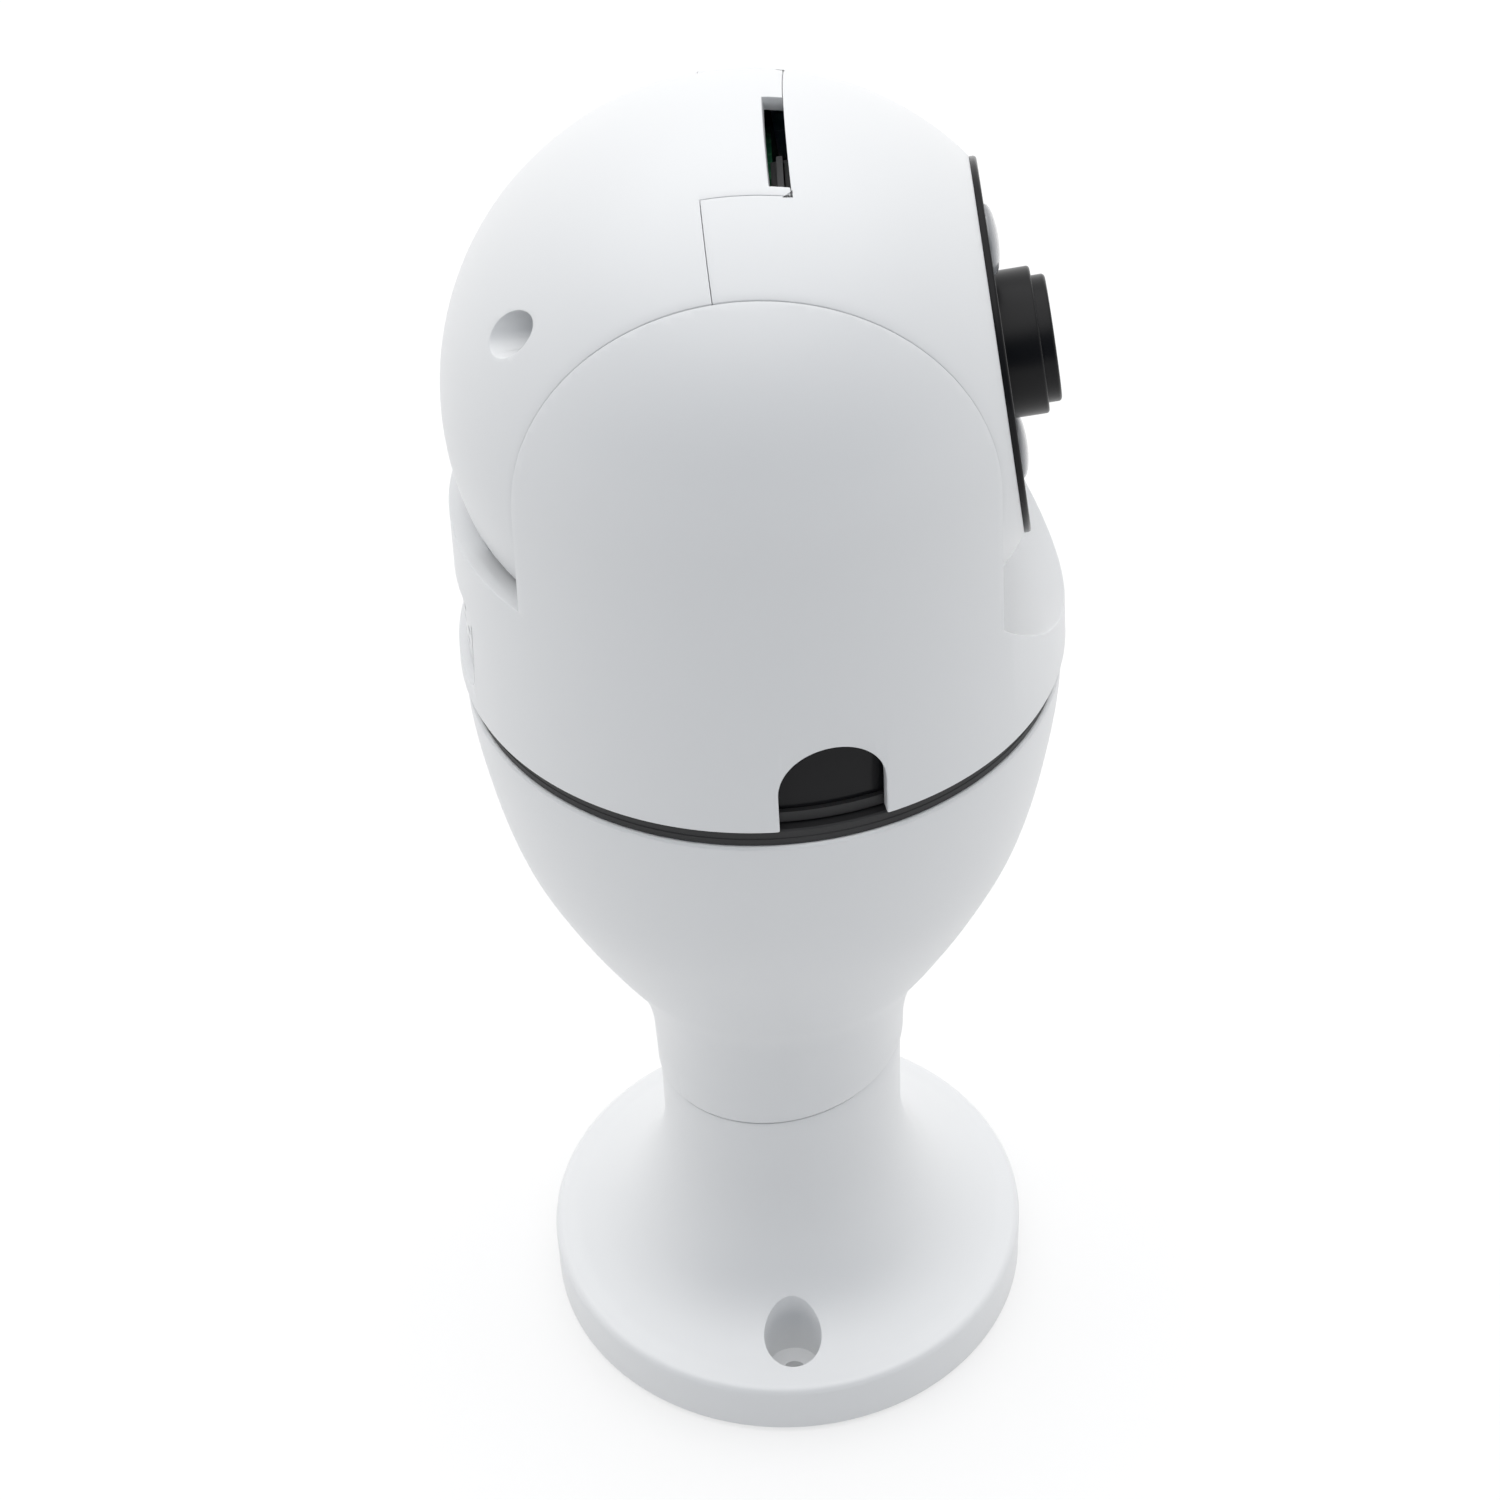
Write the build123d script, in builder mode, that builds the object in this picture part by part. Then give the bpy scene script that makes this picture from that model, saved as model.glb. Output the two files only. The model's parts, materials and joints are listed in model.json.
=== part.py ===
from build123d import *
import os
from math import cos, radians, sin, sqrt

os.makedirs("parts", exist_ok=True)

# A desk security camera that pans and tilts.  Millimetres, +Z up, origin at the centre of the
# foot's underside.  The lens faces -Y, the camera's two cheeks are on the -X and +X sides.

# ------------------------------------------------------------------ driving dimensions
running_gap = 0.05            # radial clearance of a shaft in its bore
moving_gap = 0.4              # clearance between a fixed face and a turning one
shell_wall = 2.2              # thickness of the moulded casings

foot_radius = 45.9
foot_bottom = 1.0             # the white rim stops short of the desk, the rubber pad touches it
foot_rim_top = 11.0
foot_screw_spacing = 70.8     # between the two fixing holes, along X
foot_screw_well = 5.4         # radius of the well that a fixing screw's head sits in
foot_screw_hole = 2.25
well_floor = 5.0
neck_radius = 22.5

seam_height = 62.2            # the neck parts on a slanted plane, lower at the back
seam_slope = 7.5              # degrees

stand_top = 155.5             # rim of the bowl-shaped stand
yoke_bottom = 159.0           # underside of the turning yoke
yoke_radius = 50.0            # at its bottom edge
yoke_radius_mid = 48.95
yoke_mid_height = 180.0
cheek_sphere = 48.3           # the yoke's cheeks carry on as a sphere about the tilt axis

tilt_height = 207.5           # the tilt axis runs along X at this height
head_radius = 48.0
head_half_width = 31.7        # flat sides of the head
cheek_face = 32.0             # inner edge of each cheek
lens_rise = 8.0               # degrees that the lens points up at rest
face_distance = 38.2          # flat face of the head, from the head's centre

rear_lip = 190.3              # top edge of the yoke behind the head
front_cut_radius = 40.5       # round cut in the front of the yoke, about the head's centre

gear_module = 1.0
pan_gear_teeth = 40
pan_pinion_teeth = 10
tilt_gear_teeth = 32
tilt_pinion_teeth = 8

# ------------------------------------------------------------------ derived places and planes
seam_plane = Plane(origin=(0, 0, seam_height), x_dir=(1, 0, 0),
                   z_dir=(0, sin(radians(seam_slope)), cos(radians(seam_slope))))
lens_direction = Vector(0, -cos(radians(lens_rise)), sin(radians(lens_rise)))
head_up = Vector(0, sin(radians(lens_rise)), cos(radians(lens_rise)))
head_centre = Vector(0, 0, tilt_height)
head_plane = Plane(origin=head_centre, x_dir=(1, 0, 0), z_dir=lens_direction)
head_section = Plane(origin=head_centre, x_dir=(1, 0, 0), z_dir=-head_up)
lens_axis = Axis(head_centre, lens_direction)
front_plane = Plane(origin=head_centre, x_dir=(1, 0, 0), z_dir=(0, -1, 0))


# ------------------------------------------------------------------ shared shapes
def ring(outer_radius, inner_radius, bottom, top):
    """A flat ring, or a disc when inner_radius is 0, standing on the height bottom."""
    with BuildPart() as piece:
        with BuildSketch(Plane.XY.offset(bottom)):
            Circle(outer_radius)
            if inner_radius:
                Circle(inner_radius, mode=Mode.SUBTRACT)
        extrude(amount=top - bottom)
    return piece


def side_ring(side, outer_radius, inner_radius, start, end):
    """A ring about the tilt axis between two distances from the middle, on side +1 or -1."""
    with BuildPart() as piece:
        with BuildSketch(Plane.YZ.offset(side * start)):
            with Locations((0, tilt_height)):
                Circle(outer_radius)
                Circle(inner_radius, mode=Mode.SUBTRACT)
        extrude(amount=side * (end - start))
    return piece


def turned_about_lens(points):
    """A solid of revolution about the lens axis from (radius, distance along the axis) points."""
    with BuildPart() as piece:
        with BuildSketch(head_section):
            with BuildLine():
                Polyline(*points, close=True)
            make_face()
        revolve(axis=lens_axis)
    return piece


def add_screw(seat, head_radius_mm, head_height, shank_radius, shank_length):
    """Add one cross-head screw to the open part: head above the seat plane, shank below it."""
    with BuildSketch(seat) as head:
        Circle(head_radius_mm)
    extrude(head.sketch, amount=head_height)
    with BuildSketch(seat) as shank:
        Circle(shank_radius)
    extrude(shank.sketch, amount=-shank_length)
    with BuildSketch(seat.offset(head_height)) as cross:
        Rectangle(1.3 * head_radius_mm, 0.3 * head_radius_mm)
        Rectangle(0.3 * head_radius_mm, 1.3 * head_radius_mm)
    extrude(cross.sketch, amount=-0.5 * head_height, mode=Mode.SUBTRACT)


def gear_outline(teeth, first_tooth):
    """Draw a gear in the open sketch: a root circle with thin flat-sided teeth that leave backlash."""
    pitch_radius = gear_module * teeth / 2
    root_radius = pitch_radius - 0.9 * gear_module
    tip_radius = pitch_radius + 0.7 * gear_module
    Circle(root_radius)
    with PolarLocations(0, teeth, start_angle=first_tooth):
        Polygon(
            (root_radius - 0.4, -0.70 * gear_module),
            (tip_radius, -0.26 * gear_module),
            (tip_radius, 0.26 * gear_module),
            (root_radius - 0.4, 0.70 * gear_module),
            align=None,
        )


def around(radius, count, first_angle, height):
    """Places on a circle about the Z axis, as horizontal planes at one height."""
    step = 360 / count
    angles = [radians(first_angle + step * index) for index in range(count)]
    return [Plane((radius * cos(angle), radius * sin(angle), height)) for angle in angles]


# ------------------------------------------------------------------ foot
foot_flare = [(44.3, 12.6), (40.8, 13.4), (35.0, 16.4), (30.0, 20.9), (26.0, 27.5), (23.5, 35.5)]
neck_start = 45.0
foot_skin_radial = 2.4
foot_skin_vertical = 2.0
foot_plate_top = 3.0
foot_plate_radius = 43.2
foot_boss_ring = 30.0
foot_boss_radius = 3.4
web_thickness = 3.0
neck_screw_ring = 12.5
cable_hole = 5.0

with BuildPart() as foot_form:
    with BuildSketch(Plane.XZ):
        with BuildLine():
            Line((foot_radius, foot_bottom), (foot_radius, foot_rim_top))
            Line((foot_radius, foot_bottom), (0, foot_bottom))
            TangentArc((foot_radius, foot_rim_top), foot_flare[0], tangent=(0, 1))
            Spline(*foot_flare, (neck_radius, neck_start), tangents=[(-1, 0.25), (0, 1)])
            Line((neck_radius, neck_start), (neck_radius, seam_height + 8))
            Line((neck_radius, seam_height + 8), (0, seam_height + 8))
            Line((0, seam_height + 8), (0, foot_bottom))
        make_face()
    revolve(axis=Axis.Z)
    split(bisect_by=seam_plane, keep=Keep.BOTTOM)

with BuildPart() as foot_hollow:
    inner_flare = [(r - foot_skin_radial, z - foot_skin_vertical) for r, z in foot_flare]
    inner_neck = neck_radius - foot_skin_radial
    with BuildSketch(Plane.XZ):
        with BuildLine():
            Line((0, foot_bottom), (foot_plate_radius + 0.1, foot_bottom))
            Line((foot_plate_radius + 0.1, foot_bottom), (foot_plate_radius + 0.1, foot_plate_top + 4))
            Line((foot_plate_radius + 0.1, foot_plate_top + 4), inner_flare[0])
            Spline(*inner_flare, (inner_neck, neck_start), tangents=[(-1, 0.25), (0, 1)])
            Line((inner_neck, neck_start), (inner_neck, seam_height + 8))
            Line((inner_neck, seam_height + 8), (0, seam_height + 8))
            Line((0, seam_height + 8), (0, foot_bottom))
        make_face()
    revolve(axis=Axis.Z)
    with BuildSketch(Plane.XY.offset(foot_plate_top)):
        with GridLocations(foot_screw_spacing, 0, 2, 1):
            Circle(foot_screw_well + 1.8)
        with PolarLocations(foot_boss_ring, 3, start_angle=90):
            Circle(foot_boss_radius)
    extrude(amount=40, mode=Mode.SUBTRACT)
    with BuildSketch(seam_plane.offset(-web_thickness)):
        Circle(neck_radius + 2)
    extrude(amount=2 * web_thickness, mode=Mode.SUBTRACT)

with BuildPart() as foot_shell:
    add(foot_form.part)
    add(foot_hollow.part, mode=Mode.SUBTRACT)
    with BuildSketch(Plane.XY.offset(well_floor)):
        with GridLocations(foot_screw_spacing, 0, 2, 1):
            Circle(foot_screw_well)
    extrude(amount=40, mode=Mode.SUBTRACT)
    with BuildSketch(Plane.XY):
        with GridLocations(foot_screw_spacing, 0, 2, 1):
            Circle(foot_screw_hole)
    extrude(amount=well_floor + 1, mode=Mode.SUBTRACT)
    with BuildSketch(Plane.XY):
        with PolarLocations(foot_boss_ring, 3, start_angle=90):
            Circle(1.2)
    extrude(amount=10, mode=Mode.SUBTRACT)
    with BuildSketch(seam_plane.offset(-web_thickness)):
        Circle(cable_hole)
        with PolarLocations(neck_screw_ring, 3, start_angle=90):
            Circle(1.3)
    extrude(amount=2 * web_thickness, mode=Mode.SUBTRACT)

with BuildPart() as foot_plate:
    with BuildSketch(Plane.XY.offset(foot_bottom + 0.2)):
        Circle(foot_plate_radius)
        with GridLocations(foot_screw_spacing, 0, 2, 1):
            Circle(foot_screw_hole, mode=Mode.SUBTRACT)
        with PolarLocations(foot_boss_ring, 3, start_angle=90):
            Circle(1.6, mode=Mode.SUBTRACT)
    extrude(amount=foot_plate_top - foot_bottom - 0.2)

with BuildPart() as foot_pad:
    with BuildSketch(Plane.XY):
        Circle(42.0)
        Circle(26.0, mode=Mode.SUBTRACT)
        with GridLocations(foot_screw_spacing, 0, 2, 1):
            Circle(4.0, mode=Mode.SUBTRACT)
        with PolarLocations(foot_boss_ring, 3, start_angle=90):
            Circle(3.2, mode=Mode.SUBTRACT)
    extrude(amount=foot_bottom + 0.2)

with BuildPart() as foot_weight:
    with BuildSketch(Plane.XY.offset(foot_plate_top)):
        Circle(39.5)
        Circle(12.0, mode=Mode.SUBTRACT)
        with GridLocations(foot_screw_spacing, 0, 2, 1):
            Circle(foot_screw_well + 2.3, mode=Mode.SUBTRACT)
        with PolarLocations(foot_boss_ring, 3, start_angle=90):
            Circle(foot_boss_radius + 0.5, mode=Mode.SUBTRACT)
    extrude(amount=4.5)

with BuildPart() as foot_screws:
    for seat in around(foot_boss_ring, 3, 90, foot_bottom + 0.2):
        add_screw(Plane(seat.origin, z_dir=(0, 0, -1)), 2.6, 1.1, 1.2, 8.0)

# ------------------------------------------------------------------ stand
stand_flare = [(23.1, 67.0), (23.6, 73.5), (25.0, 80.0), (27.6, 87.0), (32.6, 96.0), (38.6, 108.0),
               (44.2, 122.0), (47.7, 138.0)]
stand_rim_radius = 49.4
stand_neck_radius = 22.9
stand_skin_radial = 2.3
stand_skin_vertical = 1.2
deck_bottom = 148.0
deck_top = 150.5
deck_radius = 46.2
deck_boss_ring = 40.6
board_height = 112.0
board_boss_ring = 29.0
gap_ring_outer = 47.6         # where the ring sits inside the stand's rim
gap_ring_flange = 48.8        # where it lies on top of the rim
gap_ring_inner = 43.6
port_width = 28.0
port_height = 17.0
port_middle = (0.5, 120.5)    # Y and Z of the socket recess, which is on the +X side
port_floor = 35.5             # X of the recess's floor
port_lining = 1.2


def stand_profile(radial, vertical, bottom, top):
    """Draw half of the stand's section in the open sketch, shifted inwards by a wall."""
    flare = [(r - radial, z + vertical) for r, z in stand_flare]
    last = (stand_rim_radius - radial, stand_top + vertical)
    first = (stand_neck_radius - radial, bottom)
    with BuildLine() as outline:
        Line((0, bottom), first)
        Line(first, flare[0])
        Spline(*flare, last, tangents=[(0, 1), (0, 1)])
        if top > last[1]:
            Line(last, (last[0], top))
        Line((stand_rim_radius - radial, max(top, last[1])), (0, max(top, last[1])))
        Line((0, max(top, last[1])), (0, bottom))
    make_face(outline.edges())


with BuildPart() as stand_form:
    with BuildSketch(Plane.XZ):
        stand_profile(0, 0, seam_height - 8, stand_top)
    revolve(axis=Axis.Z)
    split(bisect_by=seam_plane, keep=Keep.TOP)

with BuildPart() as stand_hollow:
    with BuildSketch(Plane.XZ):
        stand_profile(stand_skin_radial, stand_skin_vertical, seam_height - 8, stand_top)
    revolve(axis=Axis.Z)
    with BuildSketch(Plane.XY.offset(deck_bottom)):
        with PolarLocations(deck_boss_ring, 3, start_angle=90):
            Circle(3.4)
    extrude(amount=-22, mode=Mode.SUBTRACT)
    with BuildSketch(Plane.XY.offset(board_height)):
        with PolarLocations(board_boss_ring, 3, start_angle=60):
            Circle(3.0)
    extrude(amount=-26, mode=Mode.SUBTRACT)
    with BuildSketch(seam_plane.offset(-web_thickness)):
        Circle(neck_radius + 4)
    extrude(amount=2 * web_thickness, mode=Mode.SUBTRACT)

with BuildPart() as stand_shell:
    add(stand_form.part)
    add(stand_hollow.part, mode=Mode.SUBTRACT)
    with BuildSketch(Plane.XY.offset(deck_top)):
        Circle(gap_ring_outer + 0.2)
    extrude(amount=10, mode=Mode.SUBTRACT)
    with BuildSketch(Plane.YZ.offset(port_floor - 3)):
        with Locations(port_middle):
            RectangleRounded(port_width, port_height, 3)
    extrude(amount=20, mode=Mode.SUBTRACT)
    with BuildSketch(seam_plane.offset(-web_thickness)):
        Circle(cable_hole)
        with PolarLocations(neck_screw_ring, 3, start_angle=90):
            Circle(1.7)
    extrude(amount=3 * web_thickness, mode=Mode.SUBTRACT)
    with BuildSketch(Plane.XY.offset(deck_bottom)):
        with PolarLocations(deck_boss_ring, 3, start_angle=90):
            Circle(1.2)
    extrude(amount=-9, mode=Mode.SUBTRACT)
    with BuildSketch(Plane.XY.offset(board_height)):
        with PolarLocations(board_boss_ring, 3, start_angle=60):
            Circle(1.2)
    extrude(amount=-9, mode=Mode.SUBTRACT)

with BuildPart() as neck_screws:
    for angle in (90, 210, 330):
        spot = seam_plane.from_local_coords(
            Vector(neck_screw_ring * cos(radians(angle)), neck_screw_ring * sin(radians(angle)),
                   web_thickness))
        seat = Plane(origin=spot, x_dir=(1, 0, 0), z_dir=seam_plane.z_dir)
        add_screw(seat, 2.8, 1.6, 1.3, 2 * web_thickness + 3)

# The pan motor hangs under the deck in front of the spindle.
spindle_radius = 9.95
pan_gear_bottom = 141.0
pan_gear_top = 145.0
pan_centre_distance = gear_module * (pan_gear_teeth + pan_pinion_teeth) / 2
pan_motor_radius = 12.0
pan_motor_bottom = 122.0
pan_motor_top = 139.6
pan_ear_offset = 17.0
pan_shaft_radius = 1.0

with BuildPart() as pan_deck:
    with BuildSketch(Plane.XY.offset(deck_bottom)):
        Circle(deck_radius)
    extrude(amount=deck_top - deck_bottom)
    with BuildSketch(Plane.XY.offset(pan_gear_top + moving_gap)):
        Circle(14.0)
    extrude(amount=deck_bottom - pan_gear_top - moving_gap)
    with BuildSketch(Plane.XY.offset(pan_motor_top)):
        with Locations((0, -pan_centre_distance)):
            with GridLocations(2 * pan_ear_offset, 0, 2, 1):
                Circle(3.0)
    extrude(amount=deck_bottom - pan_motor_top)
    with BuildSketch(Plane.XY.offset(pan_motor_top)):
        Circle(spindle_radius + running_gap)
        with PolarLocations(deck_boss_ring, 3, start_angle=90):
            Circle(1.6)
        with Locations((0, -pan_centre_distance)):
            with GridLocations(2 * pan_ear_offset, 0, 2, 1):
                Circle(1.0)
    extrude(amount=20, mode=Mode.SUBTRACT)

with BuildPart() as pan_motor:
    with BuildSketch(Plane.XY.offset(pan_motor_bottom)):
        with Locations((0, -pan_centre_distance)):
            Circle(pan_motor_radius)
    extrude(amount=pan_motor_top - pan_motor_bottom - 1)
    with BuildSketch(Plane.XY.offset(pan_motor_top - 1)):
        with Locations((0, -pan_centre_distance)):
            Circle(pan_motor_radius)
            SlotOverall(2 * pan_ear_offset + 7, 7)
            with GridLocations(2 * pan_ear_offset, 0, 2, 1):
                Circle(1.3, mode=Mode.SUBTRACT)
    extrude(amount=1)
    with BuildSketch(Plane.XY.offset(pan_motor_top)):
        with Locations((0, -pan_centre_distance)):
            Circle(pan_shaft_radius + running_gap)
    extrude(amount=-7, mode=Mode.SUBTRACT)

with BuildPart() as pan_motor_screws:
    for side in (-1, 1):
        under_ear = (side * pan_ear_offset, -pan_centre_distance, pan_motor_top - 1)
        add_screw(Plane(under_ear, z_dir=(0, 0, -1)), 2.2, 1.2, 1.0, 6.0)

with BuildPart() as pan_pinion:
    with BuildSketch(Plane.XY.offset(pan_gear_bottom - 0.2)):
        with Locations((0, -pan_centre_distance)):
            gear_outline(pan_pinion_teeth, 0)
    extrude(amount=pan_gear_top - pan_gear_bottom + 0.2)
    with BuildSketch(Plane.XY.offset(pan_motor_top - 6)):
        with Locations((0, -pan_centre_distance)):
            Circle(pan_shaft_radius)
    extrude(amount=pan_gear_bottom + 1 - pan_motor_top + 6)

with BuildPart() as gap_ring:
    add(ring(gap_ring_outer, gap_ring_inner, deck_top, stand_top).part)
    add(ring(gap_ring_flange, gap_ring_inner, stand_top, yoke_bottom - moving_gap).part)
thrust_washer = ring(16.0, spindle_radius + 0.6, deck_top, deck_top + 1.0)

with BuildPart() as main_board:
    with BuildSketch(Plane.XY.offset(board_height)):
        Circle(33.5)
        Circle(8.0, mode=Mode.SUBTRACT)
        with PolarLocations(board_boss_ring, 3, start_angle=60):
            Circle(1.6, mode=Mode.SUBTRACT)
    extrude(amount=1.6)

with BuildPart() as stand_screws:
    for seat in around(deck_boss_ring, 3, 90, deck_top):
        add_screw(seat, 2.4, 1.4, 1.2, 8.0)
    for seat in around(board_boss_ring, 3, 60, board_height + 1.6):
        add_screw(seat, 2.4, 1.4, 1.2, 8.0)

with BuildPart() as processor:
    with Locations((-13, 8, board_height + 1.6)):
        Box(14, 14, 1.6, align=(Align.CENTER, Align.CENTER, Align.MIN))
    with Locations((-13, 8, board_height + 3.2)):
        with GridLocations(3.1, 0, 5, 1):
            Box(1.2, 14, 5, align=(Align.CENTER, Align.CENTER, Align.MIN))

# ------------------------------------------------------------------ sockets in the stand
board_face = board_height + 1.6
network_middle = (-5.9, 119.6)
network_mouth = (11.8, 8.2)
power_middle = (5.3, 119.4)
power_bore = 3.1
reset_middle = (11.6, 117.0)
button_radius = 1.2

with BuildPart() as port_panel:
    with BuildSketch(Plane.YZ.offset(port_floor - 1.5)):
        with Locations(port_middle):
            RectangleRounded(port_width, port_height, 3)
    extrude(amount=20)
    add(stand_form.part, mode=Mode.INTERSECT)
    with BuildSketch(Plane.YZ.offset(port_floor)):
        with Locations(port_middle):
            RectangleRounded(port_width - 2 * port_lining, port_height - 2 * port_lining, 2)
    extrude(amount=20, mode=Mode.SUBTRACT)
    with BuildSketch(Plane.YZ.offset(port_floor - 2)):
        with Locations(network_middle):
            Rectangle(*network_mouth)
        with Locations(power_middle):
            Circle(power_bore)
        with Locations(reset_middle):
            Circle(button_radius + running_gap)
    extrude(amount=3, mode=Mode.SUBTRACT)

with BuildPart() as network_socket:
    with BuildSketch(Plane.YZ.offset(port_floor - 1.5)):
        with Locations((network_middle[0], board_face + 6.6)):
            Rectangle(14.0, 13.2)
    extrude(amount=-15)
    with BuildSketch(Plane.YZ.offset(port_floor - 1.5)):
        with Locations(network_middle):
            Rectangle(*network_mouth)
    extrude(amount=-12.5, mode=Mode.SUBTRACT)

with BuildPart() as power_inlet:
    with BuildSketch(Plane.YZ.offset(port_floor - 1.5)):
        with Locations((power_middle[0], board_face + 5.4)):
            Rectangle(8.0, 10.8)
    extrude(amount=-12)
    with BuildSketch(Plane.YZ.offset(port_floor - 1.5)):
        with Locations(power_middle):
            Circle(power_bore)
            Circle(1.0, mode=Mode.SUBTRACT)
    extrude(amount=-9.5, mode=Mode.SUBTRACT)

button_inner_end = port_floor - 4.0
with BuildPart() as reset_button:
    with BuildSketch(Plane.YZ.offset(button_inner_end)):
        with Locations(reset_middle):
            Circle(button_radius)
    extrude(amount=port_floor + 0.8 - button_inner_end)
    with BuildSketch(Plane.YZ.offset(port_floor - 2.6)):
        with Locations(reset_middle):
            Circle(button_radius + 0.6)
    extrude(amount=0.9)

with BuildPart() as reset_switch:
    with BuildSketch(Plane.YZ.offset(button_inner_end - 1.0)):
        with Locations((reset_middle[0], board_face + 3.0)):
            Rectangle(4.0, 6.0)
    extrude(amount=-4)

# ------------------------------------------------------------------ yoke
turntable_radius = 42.6
turntable_bottom = 153.5
turntable_top = 156.6
floor_bottom = yoke_bottom + 0.2
floor_top = 161.2
bush_start = 32.2
cover_end = 33.8
bush_outer = 10.0
trunnion_radius = 8.0
yoke_boss_places = [(39.0, 22.5), (39.0, -22.5), (-39.0, 22.5), (-39.0, -22.5)]
notch_turn = 11.4             # degrees forward from the -X side
notch_width = 17.0
notch_arch_height = 166.0
recess_width = 36.0
recess_height = 16.0
recess_corner = 3.0
recess_middle = 171.0
grille_outer = 48.3
grille_inner = 47.2

notch_out = (-cos(radians(notch_turn)), -sin(radians(notch_turn)), 0)
notch_plane = Plane(origin=(0, 0, notch_arch_height), z_dir=notch_out,
                    x_dir=(sin(radians(notch_turn)), -cos(radians(notch_turn)), 0))
back_plane = Plane(origin=(0, 0, recess_middle), x_dir=(-1, 0, 0), z_dir=(0, 1, 0))


def yoke_profile(wall):
    """Draw half of the yoke's section in the open sketch, shifted inwards by a wall."""
    sphere = cheek_sphere - wall
    with BuildLine() as outline:
        Polyline((0, yoke_bottom), (yoke_radius - wall, yoke_bottom),
                 (yoke_radius_mid - wall, yoke_mid_height), (sphere, tilt_height))
        ThreePointArc((sphere, tilt_height),
                      (sphere * sqrt(0.5), tilt_height + sphere * sqrt(0.5)),
                      (0, tilt_height + sphere))
        Line((0, tilt_height + sphere), (0, yoke_bottom))
    make_face(outline.edges())


with BuildPart() as yoke_hollow:
    with BuildSketch(Plane.XZ):
        yoke_profile(shell_wall)
    revolve(axis=Axis.Z)

with BuildPart() as yoke_bosses:
    with BuildSketch(Plane.XY.offset(floor_top)):
        with Locations(*yoke_boss_places):
            Circle(3.0)
    extrude(amount=9)

with BuildPart() as yoke_shell:
    with BuildSketch(Plane.XZ):
        yoke_profile(0)
    revolve(axis=Axis.Z)
    add(yoke_hollow.part, mode=Mode.SUBTRACT)
    add(yoke_bosses.part)
    with BuildSketch(front_plane):
        Circle(front_cut_radius)
        Rectangle(2 * cheek_face, 4 * front_cut_radius, mode=Mode.INTERSECT)
        with Locations((0, 2 * front_cut_radius)):
            Rectangle(2 * cheek_face, 4 * front_cut_radius)
    extrude(amount=60, mode=Mode.SUBTRACT)
    with Locations((0, 0, rear_lip)):
        Box(2 * cheek_face, 60, 80, align=(Align.CENTER, Align.MIN, Align.MIN), mode=Mode.SUBTRACT)
    with BuildSketch(notch_plane):
        Circle(notch_width / 2)
        with Locations((0, -10)):
            Rectangle(notch_width, 20)
    extrude(amount=60, mode=Mode.SUBTRACT)
    with BuildSketch(back_plane):
        RectangleRounded(recess_width, recess_height, recess_corner)
    extrude(amount=60, mode=Mode.SUBTRACT)
    with BuildSketch(Plane.XY.offset(floor_top)):
        with Locations(*yoke_boss_places):
            Circle(1.2)
    extrude(amount=8, mode=Mode.SUBTRACT)

with BuildPart() as speaker_grille:
    with BuildSketch(back_plane):
        RectangleRounded(recess_width, recess_height, recess_corner)
    extrude(amount=60)
    with BuildSketch(Plane.XY.offset(recess_middle - recess_height)):
        Circle(grille_outer)
        Circle(grille_inner, mode=Mode.SUBTRACT)
    extrude(amount=2 * recess_height, mode=Mode.INTERSECT)
    with BuildSketch(back_plane):
        for row, count in ((-1, 7), (0, 8), (1, 7)):
            with Locations((0, row * 3.4)):
                with GridLocations(3.4, 0, count, 1):
                    Circle(0.8)
    extrude(amount=60, mode=Mode.SUBTRACT)

with BuildPart() as speaker:
    with BuildSketch(back_plane.offset(40.0)):
        Circle(7.5)
    extrude(amount=2.0)
    with BuildSketch(back_plane.offset(42.0)):
        Circle(8.0)
        Circle(6.8, mode=Mode.SUBTRACT)
    extrude(amount=3.6)
    with BuildSketch(back_plane.offset(42.0)):
        Circle(3.0)
    extrude(amount=1.6)

with BuildPart() as side_window:
    with BuildSketch(Plane.XY.offset(floor_top)):
        Circle(46.7)
        Circle(44.9, mode=Mode.SUBTRACT)
        with Locations(Location((-46, -9.3, 0), (0, 0, notch_turn))):
            Rectangle(12, notch_width + 3.5, mode=Mode.INTERSECT)
    extrude(amount=notch_arch_height + notch_width / 2 + 2 - floor_top)

with BuildPart() as yoke_floor:
    with BuildSketch(Plane.XY.offset(floor_bottom)):
        Circle(yoke_radius - shell_wall - 0.3)
    extrude(amount=floor_top - floor_bottom)
    with BuildSketch(Plane.XY.offset(turntable_top)):
        Circle(24.0)
    extrude(amount=floor_top - turntable_top)
    with Locations(head_centre):
        Sphere(head_radius + 1.3, mode=Mode.SUBTRACT)
    with BuildSketch(Plane.XY.offset(turntable_top)):
        Circle(5.0)
        with Locations(*yoke_boss_places):
            Circle(1.5)
        with PolarLocations(20.5, 4, start_angle=45):
            Circle(1.3)
    extrude(amount=8, mode=Mode.SUBTRACT)
    with BuildSketch(Plane.XY.offset(floor_bottom)):
        with Locations(*yoke_boss_places):
            Circle(2.6)
    extrude(amount=1.2, mode=Mode.SUBTRACT)

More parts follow.
